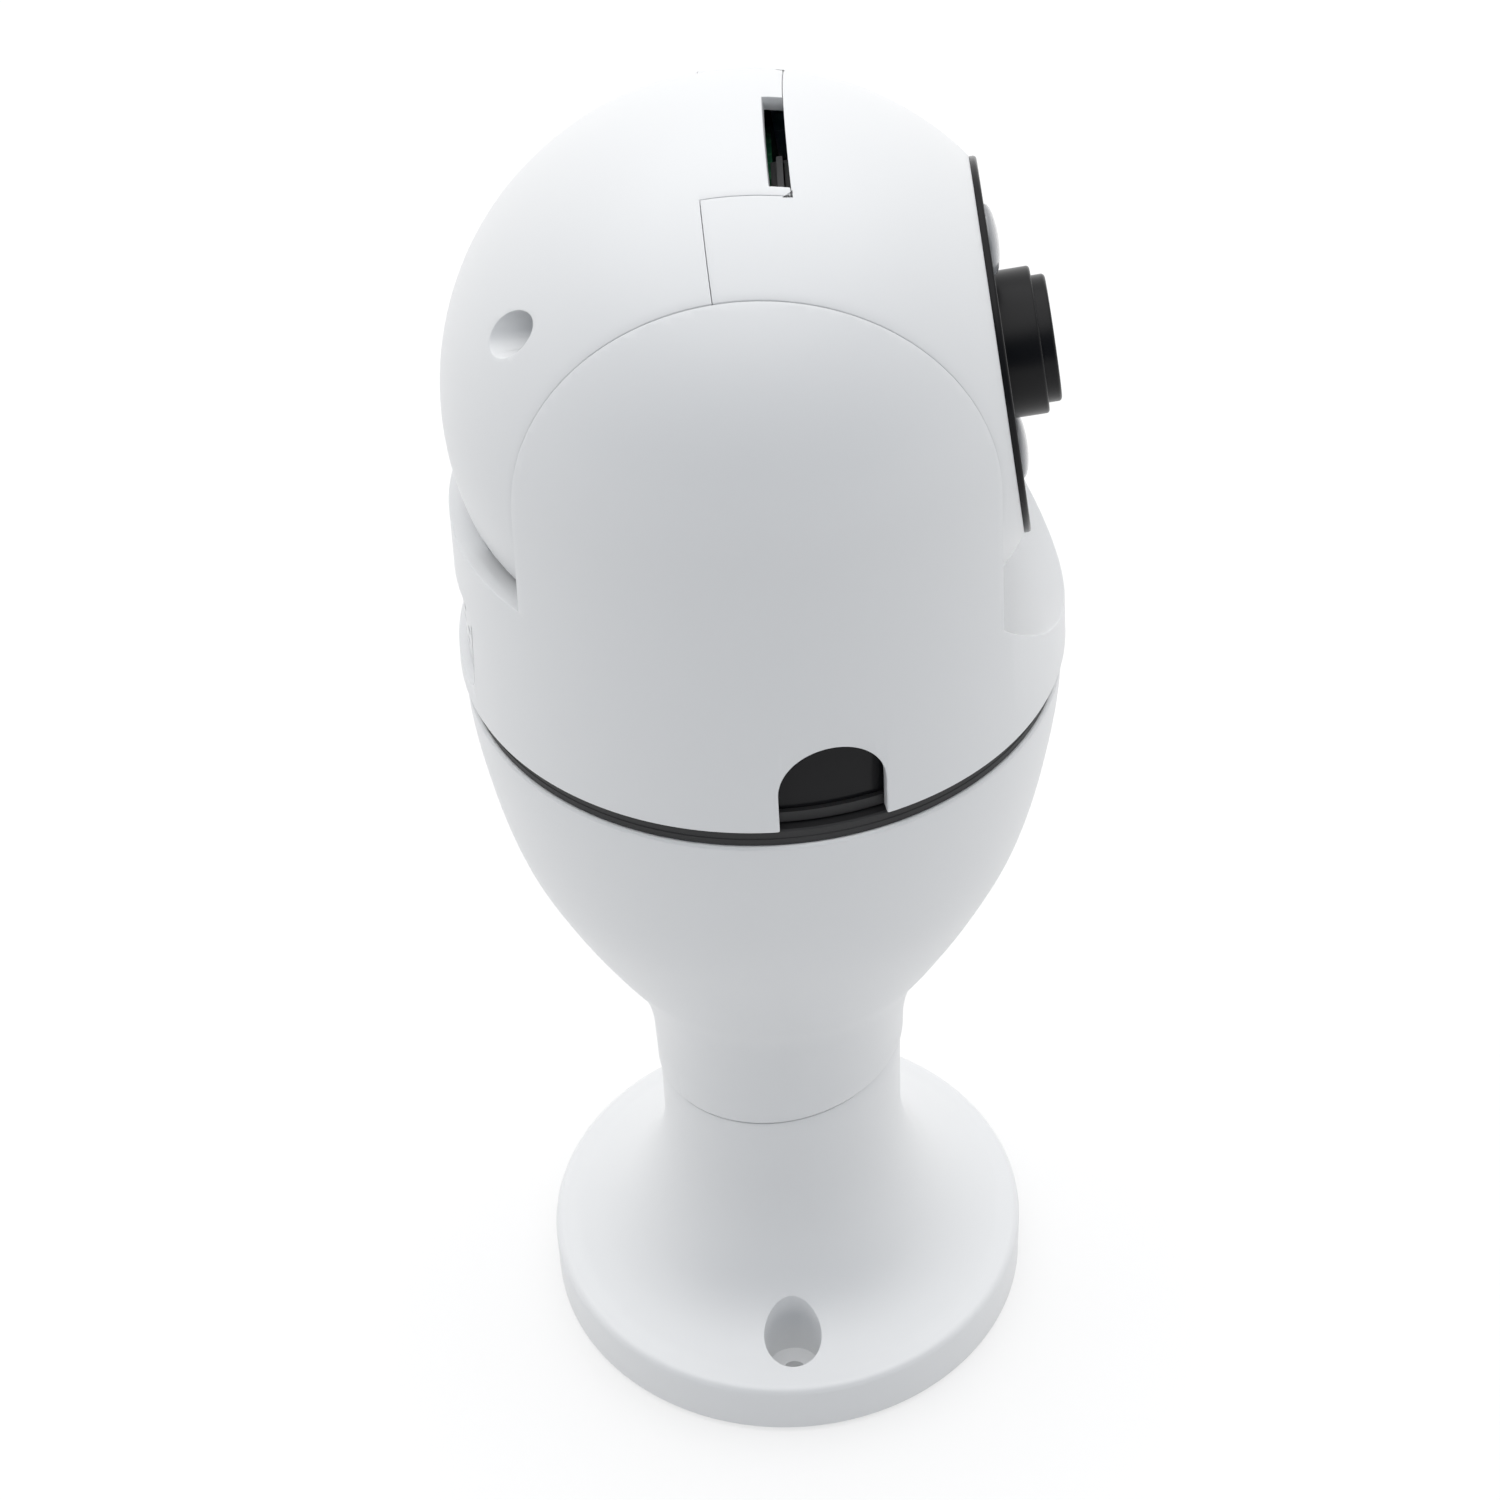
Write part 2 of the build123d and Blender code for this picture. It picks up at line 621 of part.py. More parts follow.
with BuildPart() as turntable:
    with BuildSketch(Plane.XY.offset(turntable_bottom)):
        Circle(turntable_radius)
    extrude(amount=turntable_top - turntable_bottom)
    with BuildSketch(Plane.XY.offset(deck_top + 1.0)):
        Circle(16.5)
    extrude(amount=turntable_bottom - deck_top - 1.0)
    with BuildSketch(Plane.XY.offset(pan_gear_bottom - 3.4)):
        Circle(spindle_radius)
    extrude(amount=deck_top + 1.0 - pan_gear_bottom + 3.4)
    with BuildSketch(Plane.XY.offset(turntable_top)):
        Circle(6.5)
        with PolarLocations(20.5, 4, start_angle=45):
            Circle(1.6)
    extrude(amount=-30, mode=Mode.SUBTRACT)

with BuildPart() as pan_gear:
    with BuildSketch(Plane.XY.offset(pan_gear_bottom)):
        gear_outline(pan_gear_teeth, 0)
        Circle(spindle_radius, mode=Mode.SUBTRACT)
    extrude(amount=pan_gear_top - pan_gear_bottom)

with BuildPart() as spindle_nut:
    with BuildSketch(Plane.XY.offset(pan_gear_bottom - 3.2)):
        RegularPolygon(12.6, 6)
        Circle(spindle_radius, mode=Mode.SUBTRACT)
    extrude(amount=3.2)

with BuildPart() as yoke_screws:
    for x, y in yoke_boss_places:
        add_screw(Plane((x, y, floor_bottom + 1.2), z_dir=(0, 0, -1)), 2.2, 1.0, 1.2, 8.0)
    for seat in around(20.5, 4, 45, turntable_bottom):
        add_screw(Plane(seat.origin, z_dir=(0, 0, -1)), 2.4, 1.2, 1.3, 6.5)

# The tilt motor sits in the +X cheek under the tilt axis.
tilt_gear_start = 34.2
tilt_gear_end = 36.2
tilt_centre_distance = gear_module * (tilt_gear_teeth + tilt_pinion_teeth) / 2
tilt_motor_height = tilt_height - tilt_centre_distance
tilt_motor_start = 36.9
tilt_motor_end = 44.4
tilt_ear_offset = 13.0
tilt_shaft_radius = 0.75


def cheek_cover(side):
    """The flat inner wall of one cheek, with the seat for its bush; side is +1 or -1."""
    with BuildPart() as cover:
        with Locations((side * (bush_start + cover_end) / 2, 0, floor_top)):
            Box(cover_end - bush_start, 100, 100, align=(Align.CENTER, Align.CENTER, Align.MIN))
        add(yoke_hollow.part, mode=Mode.INTERSECT)
        if side > 0:
            with BuildSketch(Plane.YZ.offset(cover_end)):
                with Locations((0, tilt_motor_height)):
                    with GridLocations(2 * tilt_ear_offset, 0, 2, 1):
                        Circle(2.2)
            extrude(amount=tilt_motor_start - cover_end)
            with BuildSketch(Plane.YZ.offset(cover_end)):
                with Locations((0, tilt_motor_height)):
                    with GridLocations(2 * tilt_ear_offset, 0, 2, 1):
                        Circle(0.9)
            extrude(amount=tilt_motor_start - cover_end, mode=Mode.SUBTRACT)
        with BuildSketch(Plane.YZ):
            with Locations((0, tilt_height)):
                Circle(bush_outer)
        extrude(amount=side * 60, mode=Mode.SUBTRACT)
    return cover


left_cheek_cover = cheek_cover(-1)
right_cheek_cover = cheek_cover(1)
with BuildPart() as bushes:
    for side in (-1, 1):
        add(side_ring(side, bush_outer, trunnion_radius + running_gap, bush_start, cover_end + 0.2).part)

with BuildPart() as tilt_motor:
    with BuildSketch(Plane.YZ.offset(tilt_motor_start)):
        with Locations((0, tilt_motor_height)):
            Circle(9.0)
    extrude(amount=tilt_motor_end - tilt_motor_start)
    with BuildSketch(Plane.YZ.offset(tilt_motor_start)):
        with Locations((0, tilt_motor_height)):
            SlotOverall(2 * tilt_ear_offset + 5, 5)
            with GridLocations(2 * tilt_ear_offset, 0, 2, 1):
                Circle(1.1, mode=Mode.SUBTRACT)
    extrude(amount=0.8)
    with BuildSketch(Plane.YZ.offset(tilt_motor_start)):
        with Locations((0, tilt_motor_height)):
            Circle(tilt_shaft_radius + running_gap)
    extrude(amount=4, mode=Mode.SUBTRACT)

with BuildPart() as tilt_motor_screws:
    for offset in (-tilt_ear_offset, tilt_ear_offset):
        on_ear = (tilt_motor_start + 0.8, offset, tilt_motor_height)
        add_screw(Plane(on_ear, z_dir=(1, 0, 0)), 1.8, 1.0, 0.9, 3.4)

with BuildPart() as tilt_pinion:
    with BuildSketch(Plane.YZ.offset(tilt_gear_start)):
        with Locations((0, tilt_motor_height)):
            gear_outline(tilt_pinion_teeth, 22.5)
    extrude(amount=tilt_gear_end - tilt_gear_start)
    with BuildSketch(Plane.YZ.offset(tilt_gear_start)):
        with Locations((0, tilt_motor_height)):
            Circle(tilt_shaft_radius)
    extrude(amount=tilt_motor_start + 3.5 - tilt_gear_start)

# ------------------------------------------------------------------ head casings
head_inner_half_width = 29.5
face_opening = 25.2
tab_half_width = 18.0         # the rear casing's tongue that carries the card slot
tab_front = 12.8
slot_start = -16.5
slot_end = 3.7
slot_back = 9.8
screw_x = 21.4
screw_up = 29.9
screw_well = 3.2
screw_seat = -12.0            # along the lens axis, from the head's centre
vent_inner = 16.4             # two openings low at the back of the rear casing, closed by the liner
vent_outer = 28.0
vent_inner_top = -6.3         # their sloping top edge and level bottom edge, across the lens axis
vent_outer_top = -10.8
vent_bottom = -20.0
liner_clearance = 0.1
liner_thickness = 1.0
liner_overlap = 1.1           # how far the liner reaches past the opening on each side
sensor_post_places = [(17.5, 10.0), (17.5, -10.0), (-17.5, 10.0), (-17.5, -10.0)]
board_front = 11.8            # front face of the sensor board, along the lens axis

with BuildPart() as head_form:
    with Locations(head_centre):
        Sphere(head_radius)
        Box(2 * head_half_width, 120, 120, mode=Mode.INTERSECT)
    split(bisect_by=head_plane.offset(face_distance), keep=Keep.BOTTOM)

with BuildPart() as head_hollow:
    with Locations(head_centre):
        Sphere(head_radius - shell_wall)
        Box(2 * head_inner_half_width, 120, 120, mode=Mode.INTERSECT)
    split(bisect_by=head_plane.offset(face_distance - shell_wall), keep=Keep.BOTTOM)

with BuildPart() as head_casing:
    add(head_form.part)
    add(head_hollow.part, mode=Mode.SUBTRACT)

with BuildPart() as casing_tab:
    with BuildSketch(head_plane):
        with Locations((0, 45)):
            Rectangle(2 * tab_half_width, 30)
    extrude(amount=tab_front)
    add(head_casing.part, mode=Mode.INTERSECT)

with BuildPart() as trunnion_holes:
    with BuildSketch(Plane.YZ.offset(-40)):
        with Locations((0, tilt_height)):
            Circle(trunnion_radius)
    extrude(amount=80)

with BuildPart() as rear_posts:
    with BuildSketch(head_plane):
        with GridLocations(2 * screw_x, 2 * screw_up, 2, 2):
            Circle(screw_well + 1.4)
    extrude(amount=-60)
    with BuildSketch(head_plane.offset(2.4)):
        with Locations((-8, 41.5), (8, 41.5)):
            Rectangle(1.6, 10)
    extrude(amount=6)
    add(head_form.part, mode=Mode.INTERSECT)

with BuildPart() as head_rear_shell:
    add(head_casing.part)
    split(bisect_by=head_plane, keep=Keep.BOTTOM)
    add(casing_tab.part)
    add(rear_posts.part)
    add(trunnion_holes.part, mode=Mode.SUBTRACT)
    with BuildSketch(head_plane.offset(screw_seat)):
        with GridLocations(2 * screw_x, 2 * screw_up, 2, 2):
            Circle(screw_well)
    extrude(amount=-60, mode=Mode.SUBTRACT)
    with BuildSketch(head_plane):
        with GridLocations(2 * screw_x, 2 * screw_up, 2, 2):
            Circle(1.7)
    extrude(amount=-60, mode=Mode.SUBTRACT)
    with BuildSketch(head_plane.offset(slot_back)):
        with Locations(((slot_start + slot_end) / 2, 45)):
            Rectangle(slot_end - slot_start, 30)
    extrude(amount=10, mode=Mode.SUBTRACT)
    with BuildSketch(head_plane):
        for side in (-1, 1):
            Polygon(
                (side * vent_inner, vent_inner_top),
                (side * vent_outer, vent_outer_top),
                (side * vent_outer, vent_bottom),
                (side * vent_inner, vent_bottom),
                align=None,
            )
    extrude(amount=-60, mode=Mode.SUBTRACT)

with BuildPart() as rear_liner:
    with Locations(head_centre):
        Sphere(head_radius - shell_wall - liner_clearance)
        Sphere(head_radius - shell_wall - liner_clearance - liner_thickness, mode=Mode.SUBTRACT)
    liner_width = vent_outer - vent_inner + 2 * liner_overlap
    liner_height = vent_inner_top - vent_bottom + 2 * liner_overlap
    with BuildSketch(head_plane):
        with Locations((0, (vent_inner_top + vent_bottom) / 2)):
            with GridLocations(vent_inner + vent_outer, 0, 2, 1):
                Rectangle(liner_width, liner_height)
    extrude(amount=-60, mode=Mode.INTERSECT)

with BuildPart() as front_posts:
    with BuildSketch(head_plane):
        with GridLocations(2 * screw_x, 2 * screw_up, 2, 2):
            Circle(3.4)
    extrude(amount=60)
    add(head_form.part, mode=Mode.INTERSECT)

with BuildPart() as head_front_shell:
    add(head_casing.part)
    split(bisect_by=head_plane, keep=Keep.TOP)
    add(casing_tab.part, mode=Mode.SUBTRACT)
    with BuildSketch(head_plane.offset(face_distance - shell_wall - 1)):
        Circle(face_opening)
    extrude(amount=10, mode=Mode.SUBTRACT)
    add(front_posts.part)
    add(trunnion_holes.part, mode=Mode.SUBTRACT)
    with BuildSketch(head_plane):
        with GridLocations(2 * screw_x, 2 * screw_up, 2, 2):
            Circle(1.3)
    extrude(amount=9, mode=Mode.SUBTRACT)

with BuildPart() as head_screws:
    for x in (-screw_x, screw_x):
        for up in (-screw_up, screw_up):
            spot = head_plane.from_local_coords(Vector(x, up, screw_seat))
            seat = Plane(origin=spot, x_dir=(1, 0, 0), z_dir=-lens_direction)
            add_screw(seat, 2.6, 1.8, 1.3, 20.0)


def trunnion(side, outer_end):
    """One hollow stub axle of the head with its inner flange; side is +1 or -1."""
    flange_start = head_inner_half_width - 1.6
    with BuildPart() as stub:
        with BuildSketch(Plane.YZ.offset(side * flange_start)):
            with Locations((0, tilt_height)):
                Circle(12.0)
        extrude(amount=side * 1.6)
        with BuildSketch(Plane.YZ.offset(side * flange_start)):
            with Locations((0, tilt_height)):
                Circle(trunnion_radius)
        extrude(amount=side * (outer_end - flange_start))
        with BuildSketch(Plane.YZ.offset(side * flange_start)):
            with Locations((0, tilt_height)):
                Circle(5.5)
        extrude(amount=side * 20, mode=Mode.SUBTRACT)
    return stub


left_trunnion = trunnion(-1, 36.4)
right_trunnion = trunnion(1, 37.4)

with BuildPart() as tilt_gear:
    with BuildSketch(Plane.YZ.offset(tilt_gear_start)):
        with Locations((0, tilt_height)):
            gear_outline(tilt_gear_teeth, 0)
            Circle(trunnion_radius, mode=Mode.SUBTRACT)
    extrude(amount=tilt_gear_end - tilt_gear_start)

trunnion_clip = side_ring(-1, 10.4, trunnion_radius, tilt_gear_start, tilt_gear_start + 1.4)

# ------------------------------------------------------------------ face, lens and lamps
plate_front = 39.3
plate_radius = 28.9
window_up = 19.0
window_radius = 5.5
window_rise = 1.5
housing_radius = 11.33
housing_front = 44.8
barrel_radius = 9.78
barrel_front = 46.95
lens_bore = 6.6
microphone_x = 19.5

with BuildPart() as face_plate:
    with BuildSketch(head_plane.offset(face_distance)):
        Circle(plate_radius)
    extrude(amount=plate_front - face_distance)
    fillet(edges().filter_by(GeomType.CIRCLE).sort_by(lens_axis)[-1], 0.5)
    with BuildSketch(head_plane.offset(face_distance)):
        Circle(face_opening - 0.1)
        Circle(face_opening - 1.8, mode=Mode.SUBTRACT)
    extrude(amount=-shell_wall)
    with BuildSketch(head_plane.offset(board_front)):
        with Locations(*sensor_post_places):
            Circle(2.2)
    extrude(amount=face_distance - board_front)
    with BuildSketch(head_plane.offset(face_distance - 4)):
        Circle(housing_radius + 0.15)
        with GridLocations(0, 2 * window_up, 1, 2):
            Circle(window_radius)
        with Locations((microphone_x, 0)):
            Circle(0.6)
    extrude(amount=8, mode=Mode.SUBTRACT)
    with BuildSketch(head_plane.offset(board_front)):
        with Locations(*sensor_post_places):
            Circle(0.9)
    extrude(amount=8, mode=Mode.SUBTRACT)

with BuildPart() as lamp_windows:
    with BuildSketch(head_plane.offset(face_distance - 1.4)):
        with GridLocations(0, 2 * window_up, 1, 2):
            Circle(window_radius)
    extrude(amount=plate_front - face_distance + 1.4 + window_rise)
    dome_radius = (window_radius ** 2 + window_rise ** 2) / (2 * window_rise)
    with BuildSketch(head_plane.offset(face_distance - 1.4)):
        with GridLocations(0, 2 * window_up, 1, 2):
            Circle(window_radius)
    extrude(amount=-0.6)
    top_edges = edges().filter_by(GeomType.CIRCLE).group_by(lens_axis)[-1]
    fillet(top_edges, window_rise - 0.1)

lens_housing = turned_about_lens([
    (barrel_radius + 0.1, 34.0), (13.2, 34.0), (13.2, face_distance - 0.1),
    (housing_radius, face_distance - 0.1), (housing_radius, housing_front - 0.4),
    (housing_radius - 0.4, housing_front), (barrel_radius + 0.1, housing_front),
])

lens_barrel = turned_about_lens([
    (lens_bore, 20.5), (barrel_radius, 20.5), (barrel_radius, barrel_front - 0.5),
    (barrel_radius - 0.5, barrel_front), (barrel_radius - 1.1, barrel_front), (lens_bore, 43.0),
])


def lens_element(back, front, bulge):
    """A round glass element in the barrel, flat behind and domed in front."""
    dome = (lens_bore ** 2 + bulge ** 2) / (2 * bulge)
    with BuildPart() as glass:
        with BuildSketch(head_section):
            with BuildLine():
                Polyline((0, front + bulge), (0, back), (lens_bore, back), (lens_bore, front))
                RadiusArc((lens_bore, front), (0, front + bulge), -dome)
            make_face()
        revolve(axis=lens_axis)
    return glass


front_lens = lens_element(39.5, 41.0, 1.8)

holder_front = 25.0
filter_back = 15.0
filter_front = 15.9
filter_travel = 10.0          # the slide carries two windows, each one travel wide

with BuildPart() as lens_holder:
    with BuildSketch(head_plane.offset(board_front)):
        Rectangle(24, 24)
    extrude(amount=7.2)
    with BuildSketch(head_plane.offset(board_front + 7.2)):
        Circle(11.6)
    extrude(amount=holder_front - board_front - 7.2)
    with BuildSketch(head_plane.offset(20.5)):
        Circle(barrel_radius)
    extrude(amount=10, mode=Mode.SUBTRACT)
    with BuildSketch(head_plane.offset(board_front)):
        Rectangle(9, 9)
    extrude(amount=10, mode=Mode.SUBTRACT)
    with BuildSketch(head_plane.offset(filter_back - 0.3)):
        Rectangle(30, 10.8)
    extrude(amount=filter_front - filter_back + 0.6, mode=Mode.SUBTRACT)

with BuildPart() as filter_slide:
    with BuildSketch(head_plane.offset(filter_back)):
        with Locations((filter_travel / 2, 0)):
            Rectangle(2 * filter_travel, 10)
    extrude(amount=filter_front - filter_back)

with BuildPart() as sensor_board:
    with BuildSketch(head_plane.offset(board_front - 1.2)):
        Rectangle(42, 27)
        with Locations(*sensor_post_places):
            Circle(1.1, mode=Mode.SUBTRACT)
    extrude(amount=1.2)

with BuildPart() as image_sensor:
    with BuildSketch(head_plane.offset(board_front)):
        Rectangle(7.5, 6.5)
    extrude(amount=1.0)

with BuildPart() as sensor_screws:
    for x, up in sensor_post_places:
        spot = head_plane.from_local_coords(Vector(x, up, board_front - 1.2))
        seat = Plane(origin=spot, x_dir=(1, 0, 0), z_dir=-lens_direction)
        add_screw(seat, 1.8, 1.0, 0.9, 7.0)

lamp_board_back = 31.8
with BuildPart() as lamp_board:
    with BuildSketch(head_plane.offset(lamp_board_back)):
        Circle(26.5)
        Circle(11.0, mode=Mode.SUBTRACT)
        with Locations(*sensor_post_places):
            Circle(2.4, mode=Mode.SUBTRACT)
    extrude(amount=1.2)

with BuildPart() as infrared_lamps:
    with BuildSketch(head_plane.offset(lamp_board_back + 1.2)):
        with GridLocations(6, 2 * window_up, 2, 2):
            Circle(1.7)
    extrude(amount=3.0)
    fillet(edges().filter_by(GeomType.CIRCLE).group_by(lens_axis)[-1], 1.2)

with BuildPart() as microphone:
    with BuildSketch(head_plane.offset(lamp_board_back + 1.2)):
        with Locations((microphone_x, 0)):
            Circle(2.2)
    extrude(amount=3.0)

# ------------------------------------------------------------------ memory card
card_middle = -10.3
card_bottom = 26.6
card_top = 41.6
card_back = 10.8
socket_bottom = 26.0
socket_top = 40.4

with BuildPart() as head_board:
    with BuildSketch(head_plane.offset(8.4)):
        with Locations((0, 28)):
            Rectangle(34, 20)
    extrude(amount=1.4)

with BuildPart() as card_socket:
    with BuildSketch(head_plane.offset(9.8)):
        with Locations((card_middle, (socket_bottom + socket_top) / 2)):
            Rectangle(12.4, socket_top - socket_bottom)
    extrude(amount=2.7)
    with BuildSketch(head_plane.offset(card_back - 0.1)):
        with Locations((card_middle, (socket_bottom + socket_top) / 2 + 0.5)):
            Rectangle(11.3, socket_top - socket_bottom)
    extrude(amount=1.1, mode=Mode.SUBTRACT)

with BuildPart() as memory_card:
    with BuildSketch(head_plane.offset(card_back)):
        with Locations((card_middle, (card_bottom + card_top) / 2)):
            Rectangle(11.0, card_top - card_bottom)
            with Locations((5.0, 3.4)):
                Rectangle(1.4, 3.0, mode=Mode.SUBTRACT)
    extrude(amount=0.9)

# ------------------------------------------------------------------ write every piece
pieces = {
    "foot_shell": foot_shell,
    "foot_plate": foot_plate,
    "foot_pad": foot_pad,
    "foot_weight": foot_weight,
    "foot_screws": foot_screws,
    "stand_shell": stand_shell,
    "neck_screws": neck_screws,
    "pan_deck": pan_deck,
    "gap_ring": gap_ring,
    "thrust_washer": thrust_washer,
    "stand_screws": stand_screws,
    "pan_motor": pan_motor,
    "pan_motor_screws": pan_motor_screws,
    "pan_pinion": pan_pinion,
    "main_board": main_board,
    "processor": processor,
    "port_panel": port_panel,
    "network_socket": network_socket,
    "power_inlet": power_inlet,
    "reset_button": reset_button,
    "reset_switch": reset_switch,
    "yoke_shell": yoke_shell,
    "yoke_floor": yoke_floor,
    "turntable": turntable,
    "pan_gear": pan_gear,
    "spindle_nut": spindle_nut,
    "yoke_screws": yoke_screws,
    "left_cheek_cover": left_cheek_cover,
    "right_cheek_cover": right_cheek_cover,
    "bushes": bushes,
    "tilt_motor": tilt_motor,
    "tilt_motor_screws": tilt_motor_screws,
    "tilt_pinion": tilt_pinion,
    "speaker": speaker,
    "speaker_grille": speaker_grille,
    "side_window": side_window,
    "head_rear_shell": head_rear_shell,
    "head_front_shell": head_front_shell,
    "rear_liner": rear_liner,
    "head_screws": head_screws,
    "left_trunnion": left_trunnion,
    "right_trunnion": right_trunnion,
    "trunnion_clip": trunnion_clip,
    "tilt_gear": tilt_gear,
    "face_plate": face_plate,
    "lamp_windows": lamp_windows,
    "lens_housing": lens_housing,
    "lens_barrel": lens_barrel,
    "front_lens": front_lens,
    "lens_holder": lens_holder,
    "filter_slide": filter_slide,
    "image_sensor": image_sensor,
    "sensor_board": sensor_board,
    "sensor_screws": sensor_screws,
    "lamp_board": lamp_board,
    "infrared_lamps": infrared_lamps,
    "microphone": microphone,
    "head_board": head_board,
    "card_socket": card_socket,
    "memory_card": memory_card,
}

for name, piece in pieces.items():
    piece.part.label = name
    export_step(piece.part, f"parts/{name}.step")
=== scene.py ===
import json
import logging
import math
from dataclasses import dataclass
from enum import Enum
from typing import Iterable, Sequence

import bpy
from mathutils import Matrix, Vector


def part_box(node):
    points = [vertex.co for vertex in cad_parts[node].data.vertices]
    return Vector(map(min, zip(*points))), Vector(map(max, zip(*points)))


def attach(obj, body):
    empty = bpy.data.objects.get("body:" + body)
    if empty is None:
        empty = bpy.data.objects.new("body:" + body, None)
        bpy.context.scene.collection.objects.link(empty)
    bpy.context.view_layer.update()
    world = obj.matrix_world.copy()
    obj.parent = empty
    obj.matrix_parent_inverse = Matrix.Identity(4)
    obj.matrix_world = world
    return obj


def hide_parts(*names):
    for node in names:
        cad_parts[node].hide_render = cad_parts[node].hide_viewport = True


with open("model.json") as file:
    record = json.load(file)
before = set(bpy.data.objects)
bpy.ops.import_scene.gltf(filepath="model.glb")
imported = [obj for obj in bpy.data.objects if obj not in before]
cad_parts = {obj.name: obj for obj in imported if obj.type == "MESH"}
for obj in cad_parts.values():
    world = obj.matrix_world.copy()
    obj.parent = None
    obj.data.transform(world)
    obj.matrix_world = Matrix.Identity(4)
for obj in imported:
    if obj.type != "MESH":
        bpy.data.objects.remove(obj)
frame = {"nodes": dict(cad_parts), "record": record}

log = logging.getLogger("camera")

MM = 0.001
WELD = 2e-6  # metres within which doubled points are one
SKIN = 0.01  # millimetres that the round outsides stay inside the frame's

Point = tuple[float, float, float]
Profile = Sequence[tuple[float, float]]


# --------------------------------------------------------------------------- workshop
class Turn(Enum):
    """The axis that a turned piece is spun about."""

    UPRIGHT = (0.0, 0.0, 1.0)
    SIDEWAYS = (1.0, 0.0, 0.0)
    LENGTHWAYS = (0.0, 1.0, 0.0)


class Cut(Enum):
    """What a second body does to the first."""

    AWAY = "DIFFERENCE"
    JOIN = "UNION"
    KEEP = "INTERSECT"


def deselect() -> None:
    """Leave edit mode and deselect everything."""
    if bpy.context.object and bpy.context.object.mode != "OBJECT":
        bpy.ops.object.mode_set(mode="OBJECT")
    bpy.ops.object.select_all(action="DESELECT")


def only(piece: bpy.types.Object) -> None:
    """Select one piece alone and make it the active one.

    Args:
        piece: The piece to select.
    """
    deselect()
    piece.select_set(True)
    bpy.context.view_layer.objects.active = piece


def settle(piece: bpy.types.Object) -> bpy.types.Object:
    """Put a piece's place, turn and size into its mesh.

    Args:
        piece: The piece to settle.

    Returns:
        The same piece, with its object at the origin.
    """
    only(piece)
    bpy.ops.object.transform_apply(location=True, rotation=True, scale=True)
    return piece


def close_up(piece: bpy.types.Object) -> None:
    """Merge doubled points and turn all faces outwards.

    Args:
        piece: The mesh to clean.
    """
    only(piece)
    bpy.ops.object.mode_set(mode="EDIT")
    bpy.ops.mesh.select_all(action="SELECT")
    bpy.ops.mesh.remove_doubles(threshold=WELD)
    bpy.ops.mesh.dissolve_degenerate(threshold=WELD)
    bpy.ops.mesh.select_all(action="SELECT")
    bpy.ops.mesh.normals_make_consistent(inside=False)
    bpy.ops.object.mode_set(mode="OBJECT")


def draw(name: str, points: Sequence[Point]) -> bpy.types.Object:
    """Draw an open line by extruding one point from place to place.

    Args:
        name: The new object's name.
        points: The line's points, in metres.

    Returns:
        The new object, an edge chain.
    """
    deselect()
    places = [Vector(point) for point in points]
    bpy.ops.mesh.primitive_plane_add(size=MM, location=places[0])
    piece = bpy.context.object
    piece.name = name
    settle(piece)
    bpy.ops.object.mode_set(mode="EDIT")
    bpy.ops.mesh.select_all(action="SELECT")
    bpy.ops.mesh.merge(type="CENTER")
    for start, end in zip(places, places[1:]):
        bpy.ops.mesh.extrude_region_move(TRANSFORM_OT_translate={"value": end - start})
    bpy.ops.object.mode_set(mode="OBJECT")
    return piece


def turned(name: str, profile: Profile, turn: Turn, steps: int = 192,
           middle: Point = (0.0, 0.0, 0.0)) -> bpy.types.Object:
    """Spin a closed section into a solid of revolution.

    Args:
        name: The new object's name.
        profile: (radius, distance along the axis) points in millimetres; it starts and ends
            on the axis, or is closed.
        turn: The axis to spin about.
        steps: How many steps make the full turn.
        middle: A point on the axis, in metres.

    Returns:
        The closed solid.
    """
    places = []
    for radius, along in profile:
        if turn is Turn.UPRIGHT:
            place = (radius * MM, 0.0, along * MM)
        elif turn is Turn.SIDEWAYS:
            place = (along * MM, 0.0, radius * MM)
        else:
            place = (radius * MM, along * MM, 0.0)
        places.append(tuple(Vector(place) + Vector(middle)))
    piece = draw(name, places)
    bpy.ops.object.mode_set(mode="EDIT")
    bpy.ops.mesh.select_all(action="SELECT")
    bpy.ops.mesh.spin(steps=steps, angle=math.tau, center=middle, axis=turn.value)
    bpy.ops.object.mode_set(mode="OBJECT")
    close_up(piece)
    return piece


def block(name: str, low: Point, high: Point) -> bpy.types.Object:
    """Make a box between two corners.

    Args:
        name: The new object's name.
        low: Lowest corner in millimetres.
        high: Highest corner in millimetres.

    Returns:
        The box.
    """
    deselect()
    centre = [(a + b) / 2 * MM for a, b in zip(low, high)]
    bpy.ops.mesh.primitive_cube_add(size=1, location=centre)
    piece = bpy.context.object
    piece.name = name
    piece.scale = [(b - a) * MM for a, b in zip(low, high)]
    return settle(piece)


def rod(name: str, radius: float, start: Point, end: Point, sides: int = 64) -> bpy.types.Object:
    """Make a round bar between two points.

    Args:
        name: The new object's name.
        radius: Its radius in millimetres.
        start: Centre of its first end, in millimetres.
        end: Centre of its other end, in millimetres.
        sides: How many flats stand for the round.

    Returns:
        The bar.
    """
    deselect()
    first = Vector(start) * MM
    last = Vector(end) * MM
    run = last - first
    bpy.ops.mesh.primitive_cylinder_add(
        vertices=sides, radius=radius * MM, depth=run.length, location=(first + last) / 2,
        rotation=run.to_track_quat("Z", "X").to_euler())
    piece = bpy.context.object
    piece.name = name
    return settle(piece)


